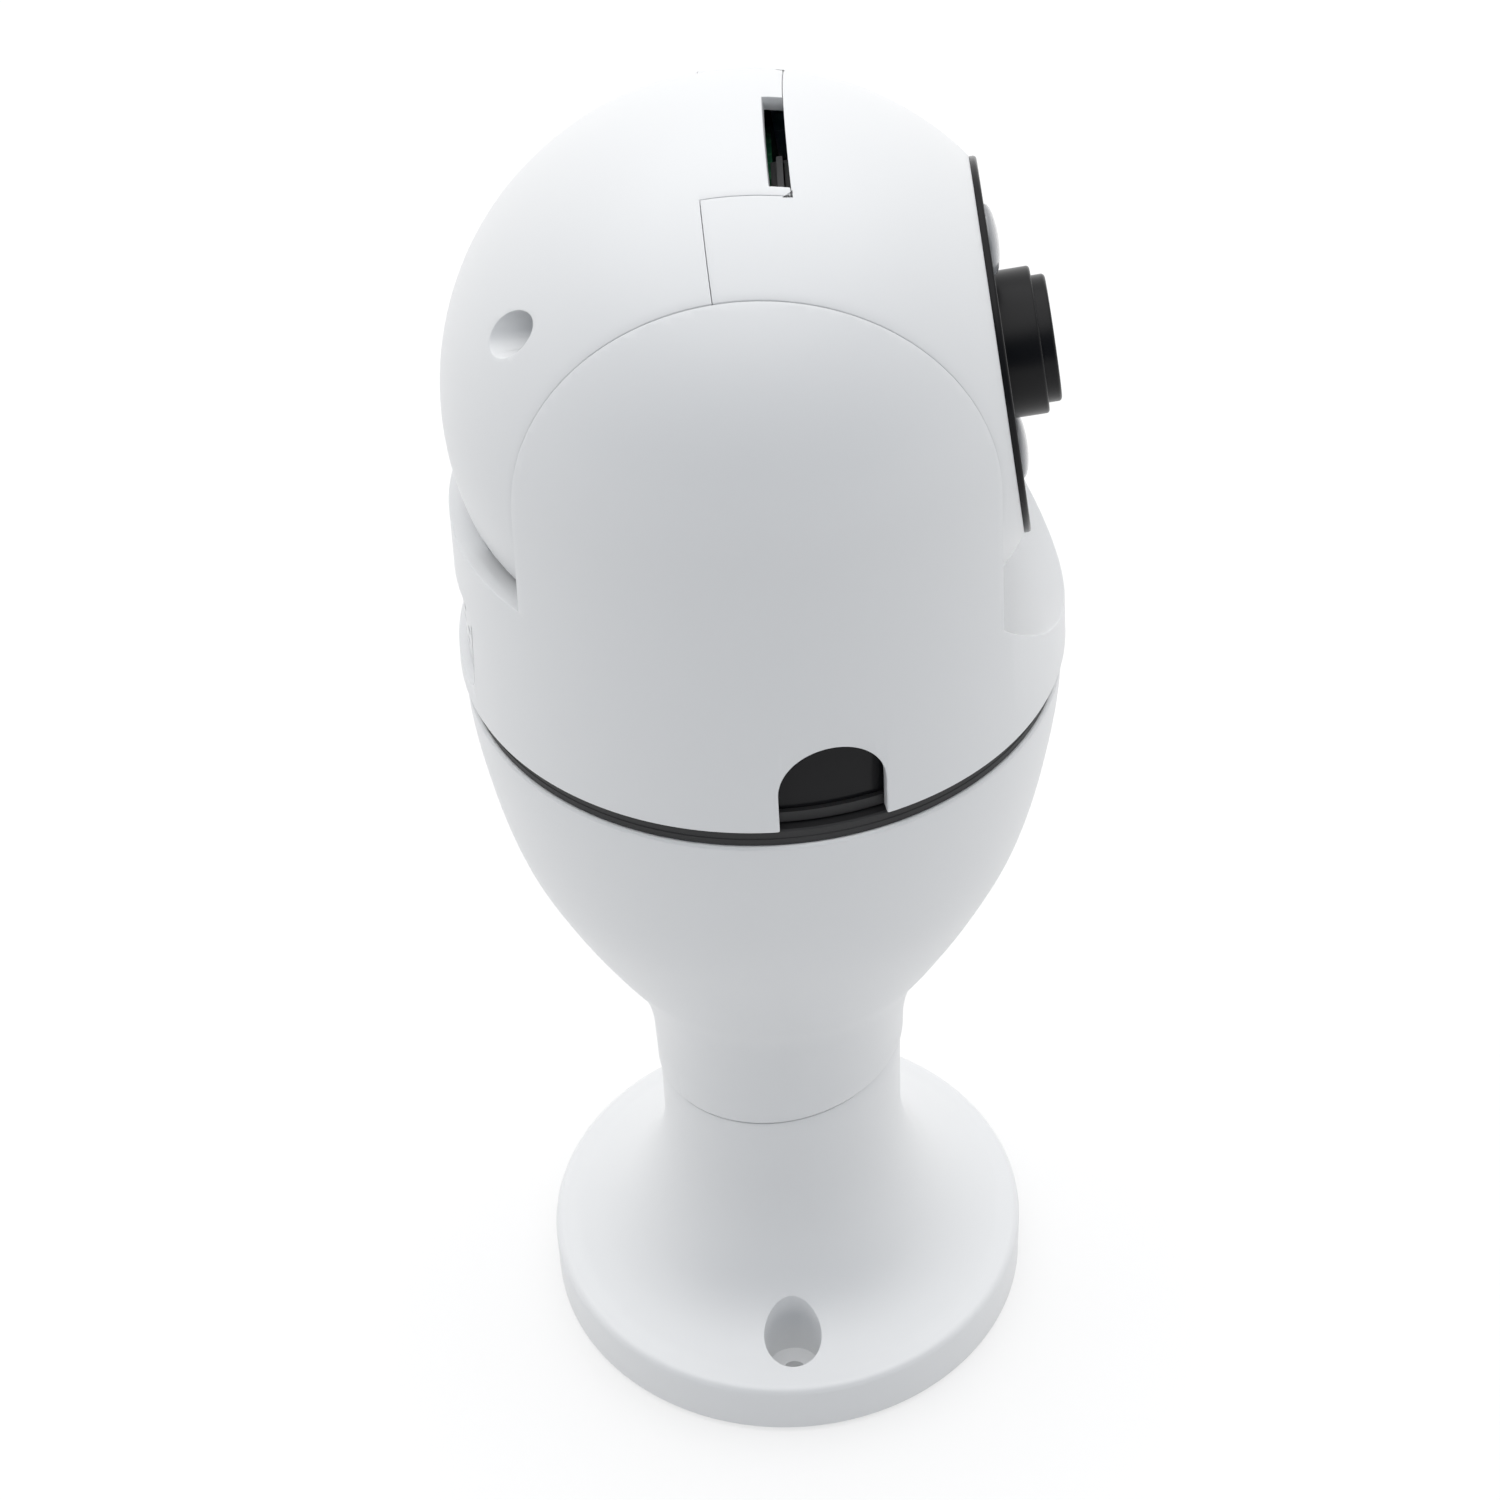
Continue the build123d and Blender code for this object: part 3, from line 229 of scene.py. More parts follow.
def prism(name: str, outline: Profile, low: float, high: float) -> bpy.types.Object:
    """Make a straight bar along Y from its outline.

    Args:
        name: The new object's name.
        outline: (x, z) corners in millimetres, in order round the outline.
        low: Where it starts along Y, in millimetres.
        high: Where it ends along Y, in millimetres.

    Returns:
        The closed bar.
    """
    loop = [*outline, outline[0]]
    piece = draw(name, [(x * MM, low * MM, z * MM) for x, z in loop])
    bpy.ops.object.mode_set(mode="EDIT")
    bpy.ops.mesh.select_all(action="SELECT")
    bpy.ops.mesh.remove_doubles(threshold=WELD)
    bpy.ops.mesh.edge_face_add()
    bpy.ops.mesh.select_all(action="SELECT")
    bpy.ops.mesh.extrude_region_move(TRANSFORM_OT_translate={"value": (0, (high - low) * MM, 0)})
    bpy.ops.object.mode_set(mode="OBJECT")
    close_up(piece)
    return piece


def round_corners(piece: bpy.types.Object, axis: int, radius: float) -> bpy.types.Object:
    """Round the four edges of a box that run along one axis.

    Args:
        piece: The box.
        axis: The axis that the edges run along: 0 for X, 1 for Y, 2 for Z.
        radius: The rounding's radius in millimetres.

    Returns:
        The box.
    """
    only(piece)
    bpy.ops.object.mode_set(mode="EDIT")
    bpy.ops.mesh.select_mode(type="EDGE")
    bpy.ops.mesh.select_all(action="DESELECT")
    bpy.ops.object.mode_set(mode="OBJECT")
    points = piece.data.vertices
    for edge in piece.data.edges:
        run = points[edge.vertices[0]].co - points[edge.vertices[1]].co
        edge.select = abs(run[axis]) > 0.9 * run.length
    bpy.ops.object.mode_set(mode="EDIT")
    bpy.ops.mesh.bevel(offset=radius * MM, segments=8, affect="EDGES")
    bpy.ops.mesh.select_mode(type="VERT")
    bpy.ops.object.mode_set(mode="OBJECT")
    return piece


def combine(piece: bpy.types.Object, tool: bpy.types.Object, cut: Cut) -> bpy.types.Object:
    """Cut, join or keep with a second body, which is used up.

    Args:
        piece: The body that stays.
        tool: The body that works on it.
        cut: What the tool does.

    Returns:
        The piece.
    """
    only(piece)
    step = piece.modifiers.new("combine", "BOOLEAN")
    step.operation = cut.value
    step.solver = "EXACT"
    step.object = tool
    bpy.ops.object.modifier_apply(modifier=step.name)
    bpy.data.objects.remove(tool, do_unlink=True)
    return piece


def join(name: str, pieces: Iterable[bpy.types.Object]) -> bpy.types.Object:
    """Join separate meshes into one object.

    Args:
        name: The joined object's name.
        pieces: The meshes.

    Returns:
        The joined object.
    """
    parts = list(pieces)
    deselect()
    for part in parts:
        part.select_set(True)
    bpy.context.view_layer.objects.active = parts[0]
    if len(parts) > 1:
        bpy.ops.object.join()
    parts[0].name = name
    return parts[0]


def gather(piece: bpy.types.Object, along: float, beside: float, angle: float = 35.0) -> None:
    """Clear the slivers that a cut leaves, so that its edge has room for a rounding.

    Args:
        piece: The piece that was cut.
        along: Points of a sharp edge nearer than this many millimetres become one.
        beside: Points nearer than this to a sharp edge join it.
        angle: Edges sharper than this many degrees are sharp.
    """
    only(piece)
    bpy.ops.object.mode_set(mode="EDIT")
    bpy.ops.mesh.select_mode(type="EDGE")
    bpy.ops.mesh.select_all(action="SELECT")
    bpy.ops.mesh.remove_doubles(threshold=WELD)
    bpy.ops.mesh.select_all(action="DESELECT")
    bpy.ops.mesh.edges_select_sharp(sharpness=math.radians(angle))
    bpy.ops.mesh.select_mode(type="VERT")
    bpy.ops.mesh.remove_doubles(threshold=along * MM)
    bpy.ops.mesh.select_all(action="DESELECT")
    bpy.ops.mesh.select_mode(type="EDGE")
    bpy.ops.mesh.edges_select_sharp(sharpness=math.radians(angle))
    bpy.ops.mesh.select_mode(type="VERT")
    bpy.ops.mesh.select_all(action="INVERT")
    bpy.ops.mesh.remove_doubles(threshold=beside * MM, use_unselected=True)
    bpy.ops.mesh.select_all(action="SELECT")
    bpy.ops.mesh.dissolve_degenerate(threshold=WELD)
    bpy.ops.object.mode_set(mode="OBJECT")


def soften(piece: bpy.types.Object, width: float, segments: int = 2, angle: float = 35.0) -> None:
    """Round the sharp edges of a finished shape.

    Args:
        piece: The piece.
        width: The rounding's width in millimetres.
        segments: How many strips it has.
        angle: Edges sharper than this many degrees are rounded.
    """
    gather(piece, 0.4 * width, 1.3 * width, angle)
    only(piece)
    step = piece.modifiers.new("soften", "BEVEL")
    step.width = width * MM
    step.segments = segments
    step.limit_method = "ANGLE"
    step.angle_limit = math.radians(angle)
    step.use_clamp_overlap = False
    bpy.ops.object.modifier_apply(modifier=step.name)


def arc(radius: float, first: float, last: float, steps: int,
        centre: tuple[float, float] = (0.0, 0.0)) -> list[tuple[float, float]]:
    """Work out points on an arc.

    Args:
        radius: The arc's radius.
        first: First angle in degrees from the first coordinate's direction.
        last: Last angle in degrees.
        steps: How many steps there are between them.
        centre: The arc's centre.

    Returns:
        The points, both ends included.
    """
    angles = [math.radians(first + (last - first) * i / steps) for i in range(steps + 1)]
    return [(centre[0] + radius * math.cos(a), centre[1] + radius * math.sin(a)) for a in angles]


def smooth_run(knots: Profile, start: tuple[float, float], end: tuple[float, float],
               steps: int = 8) -> list[tuple[float, float]]:
    """Work out a smooth curve through a few points.

    Args:
        knots: The points that the curve passes.
        start: Its direction at the first point.
        end: Its direction at the last point.
        steps: How many pieces each span has.

    Returns:
        Points along the curve, both ends included.
    """
    spots = [Vector(knot) for knot in knots]
    slopes = [(after - before) / 2 for before, after in zip(spots, spots[2:])]
    slopes.insert(0, Vector(start).normalized() * (spots[1] - spots[0]).length)
    slopes.append(Vector(end).normalized() * (spots[-1] - spots[-2]).length)
    run = []
    for index in range(len(spots) - 1):
        a, b = spots[index], spots[index + 1]
        span = (b - a).length
        da = slopes[index].normalized() * span
        db = slopes[index + 1].normalized() * span
        for step in range(steps):
            t = step / steps
            place = ((2 * t**3 - 3 * t**2 + 1) * a + (t**3 - 2 * t**2 + t) * da
                     + (3 * t**2 - 2 * t**3) * b + (t**3 - t**2) * db)
            run.append(tuple(place))
    run.append(tuple(spots[-1]))
    return run


# --------------------------------------------------------------------------- finishes
@dataclass(frozen=True)
class Moulded:
    """A moulded plastic: two close tones, a fine grain and a slightly uneven gloss."""

    name: str
    tone: tuple[float, float, float]
    tone_shift: float = 0.02
    roughness: float = 0.35
    roughness_shift: float = 0.05
    grain_size: float = 0.3
    grain_depth: float = 0.004
    coat: float = 0.0
    coat_roughness: float = 0.1
    specular: float = 0.5

    def material(self) -> bpy.types.Material:
        """Build the finish, or return it if it is there already."""
        made = bpy.data.materials.get(self.name)
        if made:
            return made
        made = bpy.data.materials.new(self.name)
        made.use_nodes = True
        nodes, links = made.node_tree.nodes, made.node_tree.links
        shader = nodes["Principled BSDF"]
        shader.inputs["Specular IOR Level"].default_value = self.specular
        shader.inputs["Coat Weight"].default_value = self.coat
        shader.inputs["Coat Roughness"].default_value = self.coat_roughness
        place = nodes.new("ShaderNodeTexCoord")
        broad = nodes.new("ShaderNodeTexNoise")
        broad.inputs["Scale"].default_value = 28.0
        broad.inputs["Detail"].default_value = 4.0
        links.new(place.outputs["Object"], broad.inputs["Vector"])
        tones = nodes.new("ShaderNodeMix")
        tones.data_type = "RGBA"
        darker = [c * (1 - self.tone_shift) for c in self.tone]
        lighter = [min(1.0, c * (1 + self.tone_shift)) for c in self.tone]
        tones.inputs["A"].default_value = (*darker, 1)
        tones.inputs["B"].default_value = (*lighter, 1)
        links.new(broad.outputs["Fac"], tones.inputs["Factor"])
        links.new(tones.outputs["Result"], shader.inputs["Base Color"])
        smear = nodes.new("ShaderNodeTexNoise")
        smear.inputs["Scale"].default_value = 90.0
        smear.inputs["Detail"].default_value = 3.0
        links.new(place.outputs["Object"], smear.inputs["Vector"])
        gloss = nodes.new("ShaderNodeMapRange")
        gloss.inputs["To Min"].default_value = self.roughness - self.roughness_shift
        gloss.inputs["To Max"].default_value = self.roughness + self.roughness_shift
        links.new(smear.outputs["Fac"], gloss.inputs["Value"])
        links.new(gloss.outputs["Result"], shader.inputs["Roughness"])
        grain = nodes.new("ShaderNodeTexNoise")
        grain.inputs["Scale"].default_value = 1 / (self.grain_size * MM)
        grain.inputs["Detail"].default_value = 2.0
        links.new(place.outputs["Object"], grain.inputs["Vector"])
        bump = nodes.new("ShaderNodeBump")
        bump.inputs["Strength"].default_value = 1.0
        bump.inputs["Distance"].default_value = self.grain_depth * MM
        links.new(grain.outputs["Fac"], bump.inputs["Height"])
        links.new(bump.outputs["Normal"], shader.inputs["Normal"])
        return made


@dataclass(frozen=True)
class Plated:
    """A plated or rolled metal: fine streaks one way and a little tarnish."""

    name: str
    tone: tuple[float, float, float]
    roughness: float = 0.3
    streak: Point = (900.0, 900.0, 90.0)
    streak_depth: float = 0.004

    def material(self) -> bpy.types.Material:
        """Build the finish, or return it if it is there already."""
        made = bpy.data.materials.get(self.name)
        if made:
            return made
        made = bpy.data.materials.new(self.name)
        made.use_nodes = True
        nodes, links = made.node_tree.nodes, made.node_tree.links
        shader = nodes["Principled BSDF"]
        shader.inputs["Metallic"].default_value = 1.0
        place = nodes.new("ShaderNodeTexCoord")
        mapping = nodes.new("ShaderNodeMapping")
        mapping.inputs["Scale"].default_value = self.streak
        links.new(place.outputs["Object"], mapping.inputs["Vector"])
        streaks = nodes.new("ShaderNodeTexNoise")
        streaks.inputs["Scale"].default_value = 1.0
        streaks.inputs["Detail"].default_value = 5.0
        links.new(mapping.outputs["Vector"], streaks.inputs["Vector"])
        tarnish = nodes.new("ShaderNodeTexNoise")
        tarnish.inputs["Scale"].default_value = 60.0
        tarnish.inputs["Detail"].default_value = 4.0
        links.new(place.outputs["Object"], tarnish.inputs["Vector"])
        tones = nodes.new("ShaderNodeMix")
        tones.data_type = "RGBA"
        tones.inputs["A"].default_value = (*[c * 0.8 for c in self.tone], 1)
        tones.inputs["B"].default_value = (*self.tone, 1)
        links.new(tarnish.outputs["Fac"], tones.inputs["Factor"])
        links.new(tones.outputs["Result"], shader.inputs["Base Color"])
        gloss = nodes.new("ShaderNodeMapRange")
        gloss.inputs["To Min"].default_value = self.roughness * 0.7
        gloss.inputs["To Max"].default_value = self.roughness * 1.3
        links.new(streaks.outputs["Fac"], gloss.inputs["Value"])
        links.new(gloss.outputs["Result"], shader.inputs["Roughness"])
        bump = nodes.new("ShaderNodeBump")
        bump.inputs["Distance"].default_value = self.streak_depth * MM
        links.new(streaks.outputs["Fac"], bump.inputs["Height"])
        links.new(bump.outputs["Normal"], shader.inputs["Normal"])
        return made


@dataclass(frozen=True)
class Clear:
    """A tinted clear plastic or coated glass with faint wipe marks."""

    name: str
    tone: tuple[float, float, float]
    roughness: float = 0.04
    transmission: float = 0.6
    ior: float = 1.5
    coat: float = 0.5

    def material(self) -> bpy.types.Material:
        """Build the finish, or return it if it is there already."""
        made = bpy.data.materials.get(self.name)
        if made:
            return made
        made = bpy.data.materials.new(self.name)
        made.use_nodes = True
        nodes, links = made.node_tree.nodes, made.node_tree.links
        shader = nodes["Principled BSDF"]
        shader.inputs["Transmission Weight"].default_value = self.transmission
        shader.inputs["IOR"].default_value = self.ior
        shader.inputs["Coat Weight"].default_value = self.coat
        place = nodes.new("ShaderNodeTexCoord")
        marks = nodes.new("ShaderNodeTexNoise")
        marks.inputs["Scale"].default_value = 180.0
        marks.inputs["Detail"].default_value = 5.0
        links.new(place.outputs["Object"], marks.inputs["Vector"])
        gloss = nodes.new("ShaderNodeMapRange")
        gloss.inputs["To Min"].default_value = self.roughness * 0.5
        gloss.inputs["To Max"].default_value = self.roughness * 2.0
        links.new(marks.outputs["Fac"], gloss.inputs["Value"])
        links.new(gloss.outputs["Result"], shader.inputs["Roughness"])
        tones = nodes.new("ShaderNodeMix")
        tones.data_type = "RGBA"
        tones.inputs["A"].default_value = (*[c * 0.85 for c in self.tone], 1)
        tones.inputs["B"].default_value = (*self.tone, 1)
        links.new(marks.outputs["Fac"], tones.inputs["Factor"])
        links.new(tones.outputs["Result"], shader.inputs["Base Color"])
        return made


@dataclass(frozen=True)
class Board:
    """A lacquered circuit board with fine copper tracks under the lacquer."""

    name: str
    lacquer: tuple[float, float, float]
    track: tuple[float, float, float]

    def material(self) -> bpy.types.Material:
        """Build the finish, or return it if it is there already."""
        made = bpy.data.materials.get(self.name)
        if made:
            return made
        made = bpy.data.materials.new(self.name)
        made.use_nodes = True
        nodes, links = made.node_tree.nodes, made.node_tree.links
        shader = nodes["Principled BSDF"]
        shader.inputs["Coat Weight"].default_value = 0.4
        place = nodes.new("ShaderNodeTexCoord")
        cells = nodes.new("ShaderNodeTexVoronoi")
        cells.distance = "CHEBYCHEV"
        cells.feature = "DISTANCE_TO_EDGE"
        cells.inputs["Scale"].default_value = 420.0
        links.new(place.outputs["Object"], cells.inputs["Vector"])
        line = nodes.new("ShaderNodeMapRange")
        line.inputs["From Max"].default_value = 0.12
        links.new(cells.outputs["Distance"], line.inputs["Value"])
        tones = nodes.new("ShaderNodeMix")
        tones.data_type = "RGBA"
        tones.inputs["A"].default_value = (*self.track, 1)
        tones.inputs["B"].default_value = (*self.lacquer, 1)
        links.new(line.outputs["Result"], tones.inputs["Factor"])
        links.new(tones.outputs["Result"], shader.inputs["Base Color"])
        weave = nodes.new("ShaderNodeTexNoise")
        weave.inputs["Scale"].default_value = 700.0
        links.new(place.outputs["Object"], weave.inputs["Vector"])
        gloss = nodes.new("ShaderNodeMapRange")
        gloss.inputs["To Min"].default_value = 0.25
        gloss.inputs["To Max"].default_value = 0.4
        links.new(weave.outputs["Fac"], gloss.inputs["Value"])
        links.new(gloss.outputs["Result"], shader.inputs["Roughness"])
        bump = nodes.new("ShaderNodeBump")
        bump.inputs["Distance"].default_value = 0.02 * MM
        links.new(line.outputs["Result"], bump.inputs["Height"])
        links.new(bump.outputs["Normal"], shader.inputs["Normal"])
        return made


Finish = Moulded | Plated | Clear | Board

WHITE = Moulded("white_casing_finish", (0.705, 0.713, 0.722), 0.006, 0.36, 0.03, 0.35, 0.0015)
BLACK_GLOSS = Moulded("black_gloss_finish", (0.010, 0.010, 0.011), 0.1, 0.2, 0.03, 0.8, 0.001, specular=0.12)
BLACK = Moulded("black_plastic_finish", (0.022, 0.022, 0.023), 0.1, 0.5, 0.06, 0.3, 0.01, specular=0.3)
LENS_BLACK = Moulded("lens_black_finish", (0.008, 0.008, 0.009), 0.1, 0.3, 0.05, 0.25, 0.004, specular=0.16)

FINISHES: dict[str, Finish] = {
    "white_casing": WHITE,
    "black_gloss": BLACK_GLOSS,
    "black_plastic": BLACK,
    "lens_black": LENS_BLACK,
    "grey_window": Clear("grey_window_finish", (0.42, 0.43, 0.45), 0.12, 0.25),
    "lens_glass": Clear("lens_glass_finish", (0.30, 0.34, 0.48), 0.01, 0.75, 1.6, 1.0),
    "rubber": Moulded("rubber_finish", (0.03, 0.03, 0.031), 0.15, 0.8, 0.08, 0.5, 0.03, specular=0.3),
    "zinc_steel": Plated("zinc_steel_finish", (0.62, 0.63, 0.65)),
    "motor_can": Plated("motor_can_finish", (0.66, 0.67, 0.69), 0.35),
    "screw_steel": Plated("screw_steel_finish", (0.55, 0.56, 0.58), 0.28),
    "gear_plastic": Moulded("gear_plastic_finish", (0.82, 0.80, 0.72), 0.03, 0.42, 0.05),
    "circuit_board": Board("circuit_board_finish", (0.012, 0.10, 0.045), (0.05, 0.19, 0.09)),
    "heat_sink": Plated("heat_sink_finish", (0.70, 0.71, 0.72), 0.32),
    "socket_metal": Plated("socket_metal_finish", (0.70, 0.70, 0.71), 0.25),
    "chip_black": Moulded("chip_black_finish", (0.03, 0.03, 0.032), 0.1, 0.55, 0.05),
    "card_black": Moulded("card_black_finish", (0.02, 0.02, 0.022), 0.1, 0.4, 0.05),
    "filter_glass": Clear("filter_glass_finish", (0.25, 0.5, 0.6), 0.02, 0.7),
    "lamp_clear": Clear("lamp_clear_finish", (0.75, 0.78, 0.85), 0.03, 0.8),
    "cone_paper": Moulded("cone_paper_finish", (0.05, 0.05, 0.05), 0.2, 0.9, 0.05, 0.4, 0.05),
    "button_grey": Moulded("button_grey_finish", (0.20, 0.20, 0.21), 0.05, 0.45, 0.05),
}


def deliver(piece: bpy.types.Object, body: str, slot: str, replaces: Sequence[str] = (),
            crease: float = 38.0) -> bpy.types.Object:
    """Shade a finished piece, give it its finish and put it on its body.

    Args:
        piece: The finished mesh.
        body: The CAD body that it moves with.
        slot: The material slot that it belongs to.
        replaces: The CAD nodes that it stands for.
        crease: Edges sharper than this many degrees stay sharp.

    Returns:
        The piece.
    """
    only(piece)
    bpy.ops.object.shade_smooth_by_angle(angle=math.radians(crease))
    piece.data.materials.clear()
    piece.data.materials.append(FINISHES[slot].material())
    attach(piece, body)
    if replaces:
        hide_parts(*replaces)
    log.info("%s: %d faces on %s", piece.name, len(piece.data.polygons), body)
    return piece


def high(node: str, axis: int) -> float:
    """Return a CAD node's highest coordinate along an axis, in millimetres."""
    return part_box(node)[1][axis] / MM


def low(node: str, axis: int) -> float:
    """Return a CAD node's lowest coordinate along an axis, in millimetres."""
    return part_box(node)[0][axis] / MM


# --------------------------------------------------------------------------- stand
@dataclass
class Foot:
    """The round flared foot with the lower neck and its two screw wells."""

    bottom: float = low("foot_shell", 2)
    radius: float = high("foot_shell", 0) - SKIN
    rim_top: float = 11.0
    round_off: float = 1.6
    neck_radius: float = 22.5
    well_radius: float = 5.4
    well_floor: float = 5.0
    hole_radius: float = 2.25
    hole_offset: float = 35.4
    seam_height: float = 62.2
    seam_slope: float = 7.5

    def build(self) -> None:
        """Make the foot."""
        edge = self.radius - self.round_off
        flare = smooth_run(
            [(edge, self.rim_top + self.round_off), (40.8, 13.4), (35.0, 16.4), (30.0, 20.9),
             (26.0, 27.5), (23.5, 35.5), (self.neck_radius, 45.0)],
            (-1, 0.25), (0, 1), 7)
        rim = arc(self.round_off, 0, 90, 8, (edge, self.rim_top))
        profile = [(0, self.bottom), (self.radius - 0.4, self.bottom), (self.radius, self.bottom + 0.4)]
        profile += rim[:-1] + flare
        profile += [(self.neck_radius, z) for z in (50, 55, 60, 65, 70)] + [(0, 70)]
        foot = turned("foot", profile, Turn.UPRIGHT)
        for side in (-1, 1):
            x = side * self.hole_offset
            combine(foot, rod("well", self.well_radius, (x, 0, self.well_floor), (x, 0, 60)), Cut.AWAY)
            combine(foot, rod("hole", self.hole_radius, (x, 0, -5), (x, 0, 20)), Cut.AWAY)
        combine(foot, seam_block(self, above=True), Cut.AWAY)
        soften(foot, 0.1)
        deliver(foot, "stand", "white_casing", ["foot_shell"])


def seam_block(foot: Foot, above: bool) -> bpy.types.Object:
    """Make the block on one side of the neck's slanted seam.

    Args:
        foot: The foot, which holds the seam's place and slope.
        above: True for the block above the seam, False for the one below.

    Returns:
        The block.
    """
    gap = 0.62 if above else -0.12
    piece = block("seam", (-60, -60, 0), (60, 60, 120)) if above else block(
        "seam", (-60, -60, -120), (60, 60, 0))
    piece.rotation_euler = (-math.radians(foot.seam_slope), 0, 0)
    piece.location = (0, 0, (foot.seam_height - gap) * MM)
    return settle(piece)


@dataclass
class Bowl:
    """The upper neck and bowl of the stand, with the socket recess on its far side."""

    top: float = high("stand_shell", 2)
    rim_radius: float = high("stand_shell", 0) - SKIN
    neck_radius: float = 22.9
    ring_radius: float = high("gap_ring", 0)
    ring_seat: float = 47.6
    deck: float = high("pan_deck", 2)
    port_floor: float = 35.5

    def build(self, foot: Foot) -> None:
        """Make the bowl.

        Args:
            foot: The foot below it, which shares the slanted seam.
        """
        wall = smooth_run(
            [(23.1, 67.0), (23.6, 73.5), (25.0, 80.0), (27.6, 87.0), (32.6, 96.0), (38.6, 108.0),
             (44.2, 122.0), (47.7, 138.0), (self.rim_radius, self.top - 0.4)],
            (0, 1), (0, 1), 8)
        profile = [(0, 50), (self.neck_radius, 50), (self.neck_radius, 60)] + wall
        seat = self.ring_seat + 0.2
        profile += [(self.rim_radius - 0.4, self.top), (seat, self.top), (seat, self.deck),
                    (0, self.deck)]
        bowl = turned("bowl", profile, Turn.UPRIGHT, 256)
        combine(bowl, seam_block(foot, above=False), Cut.AWAY)
        combine(bowl, self.port_block(0.0, self.port_floor - 1.5), Cut.AWAY)
        soften(bowl, 0.1)
        deliver(bowl, "stand", "white_casing", ["stand_shell"])
        self.build_ring()

    def port_block(self, inset: float, start: float) -> bpy.types.Object:
        """Make the rounded block that fills the socket recess.

        Args:
            inset: How far its sides are inside the recess, in millimetres.
            start: Where it starts along X.

        Returns:
            The block, which runs out past the bowl.
        """
        low_corner, high_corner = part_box("port_panel")
        piece = block("port", (start, low_corner.y / MM + inset, low_corner.z / MM + inset),
                      (60, high_corner.y / MM - inset, high_corner.z / MM - inset))
        return round_corners(piece, 0, 3.0 - inset)

    def build_ring(self) -> None:
        """Make the black ring in the gap under the yoke, with one fine groove and chamfered edges."""
        outer, inner = self.ring_radius, low_radius("gap_ring")
        top = high("gap_ring", 2)
        profile = [(inner, self.deck), (self.ring_seat, self.deck), (self.ring_seat, self.top),
                   (outer - 0.2, self.top), (outer, self.top + 0.2), (outer, self.top + 1.3),
                   (outer - 0.12, self.top + 1.42), (outer - 0.12, self.top + 1.6),
                   (outer, self.top + 1.72), (outer, top - 0.25), (outer - 0.25, top),
                   (inner, top), (inner, self.deck)]
        ring = turned("gap_ring_black", profile, Turn.UPRIGHT, 256)
        deliver(ring, "stand", "black_plastic", ["gap_ring"])


def low_radius(node: str) -> float:
    """Return the smallest distance of a CAD node's points from the pan axis, in millimetres."""
    mesh = frame["nodes"][node].data
    return min(math.hypot(v.co.x, v.co.y) for v in mesh.vertices) / MM


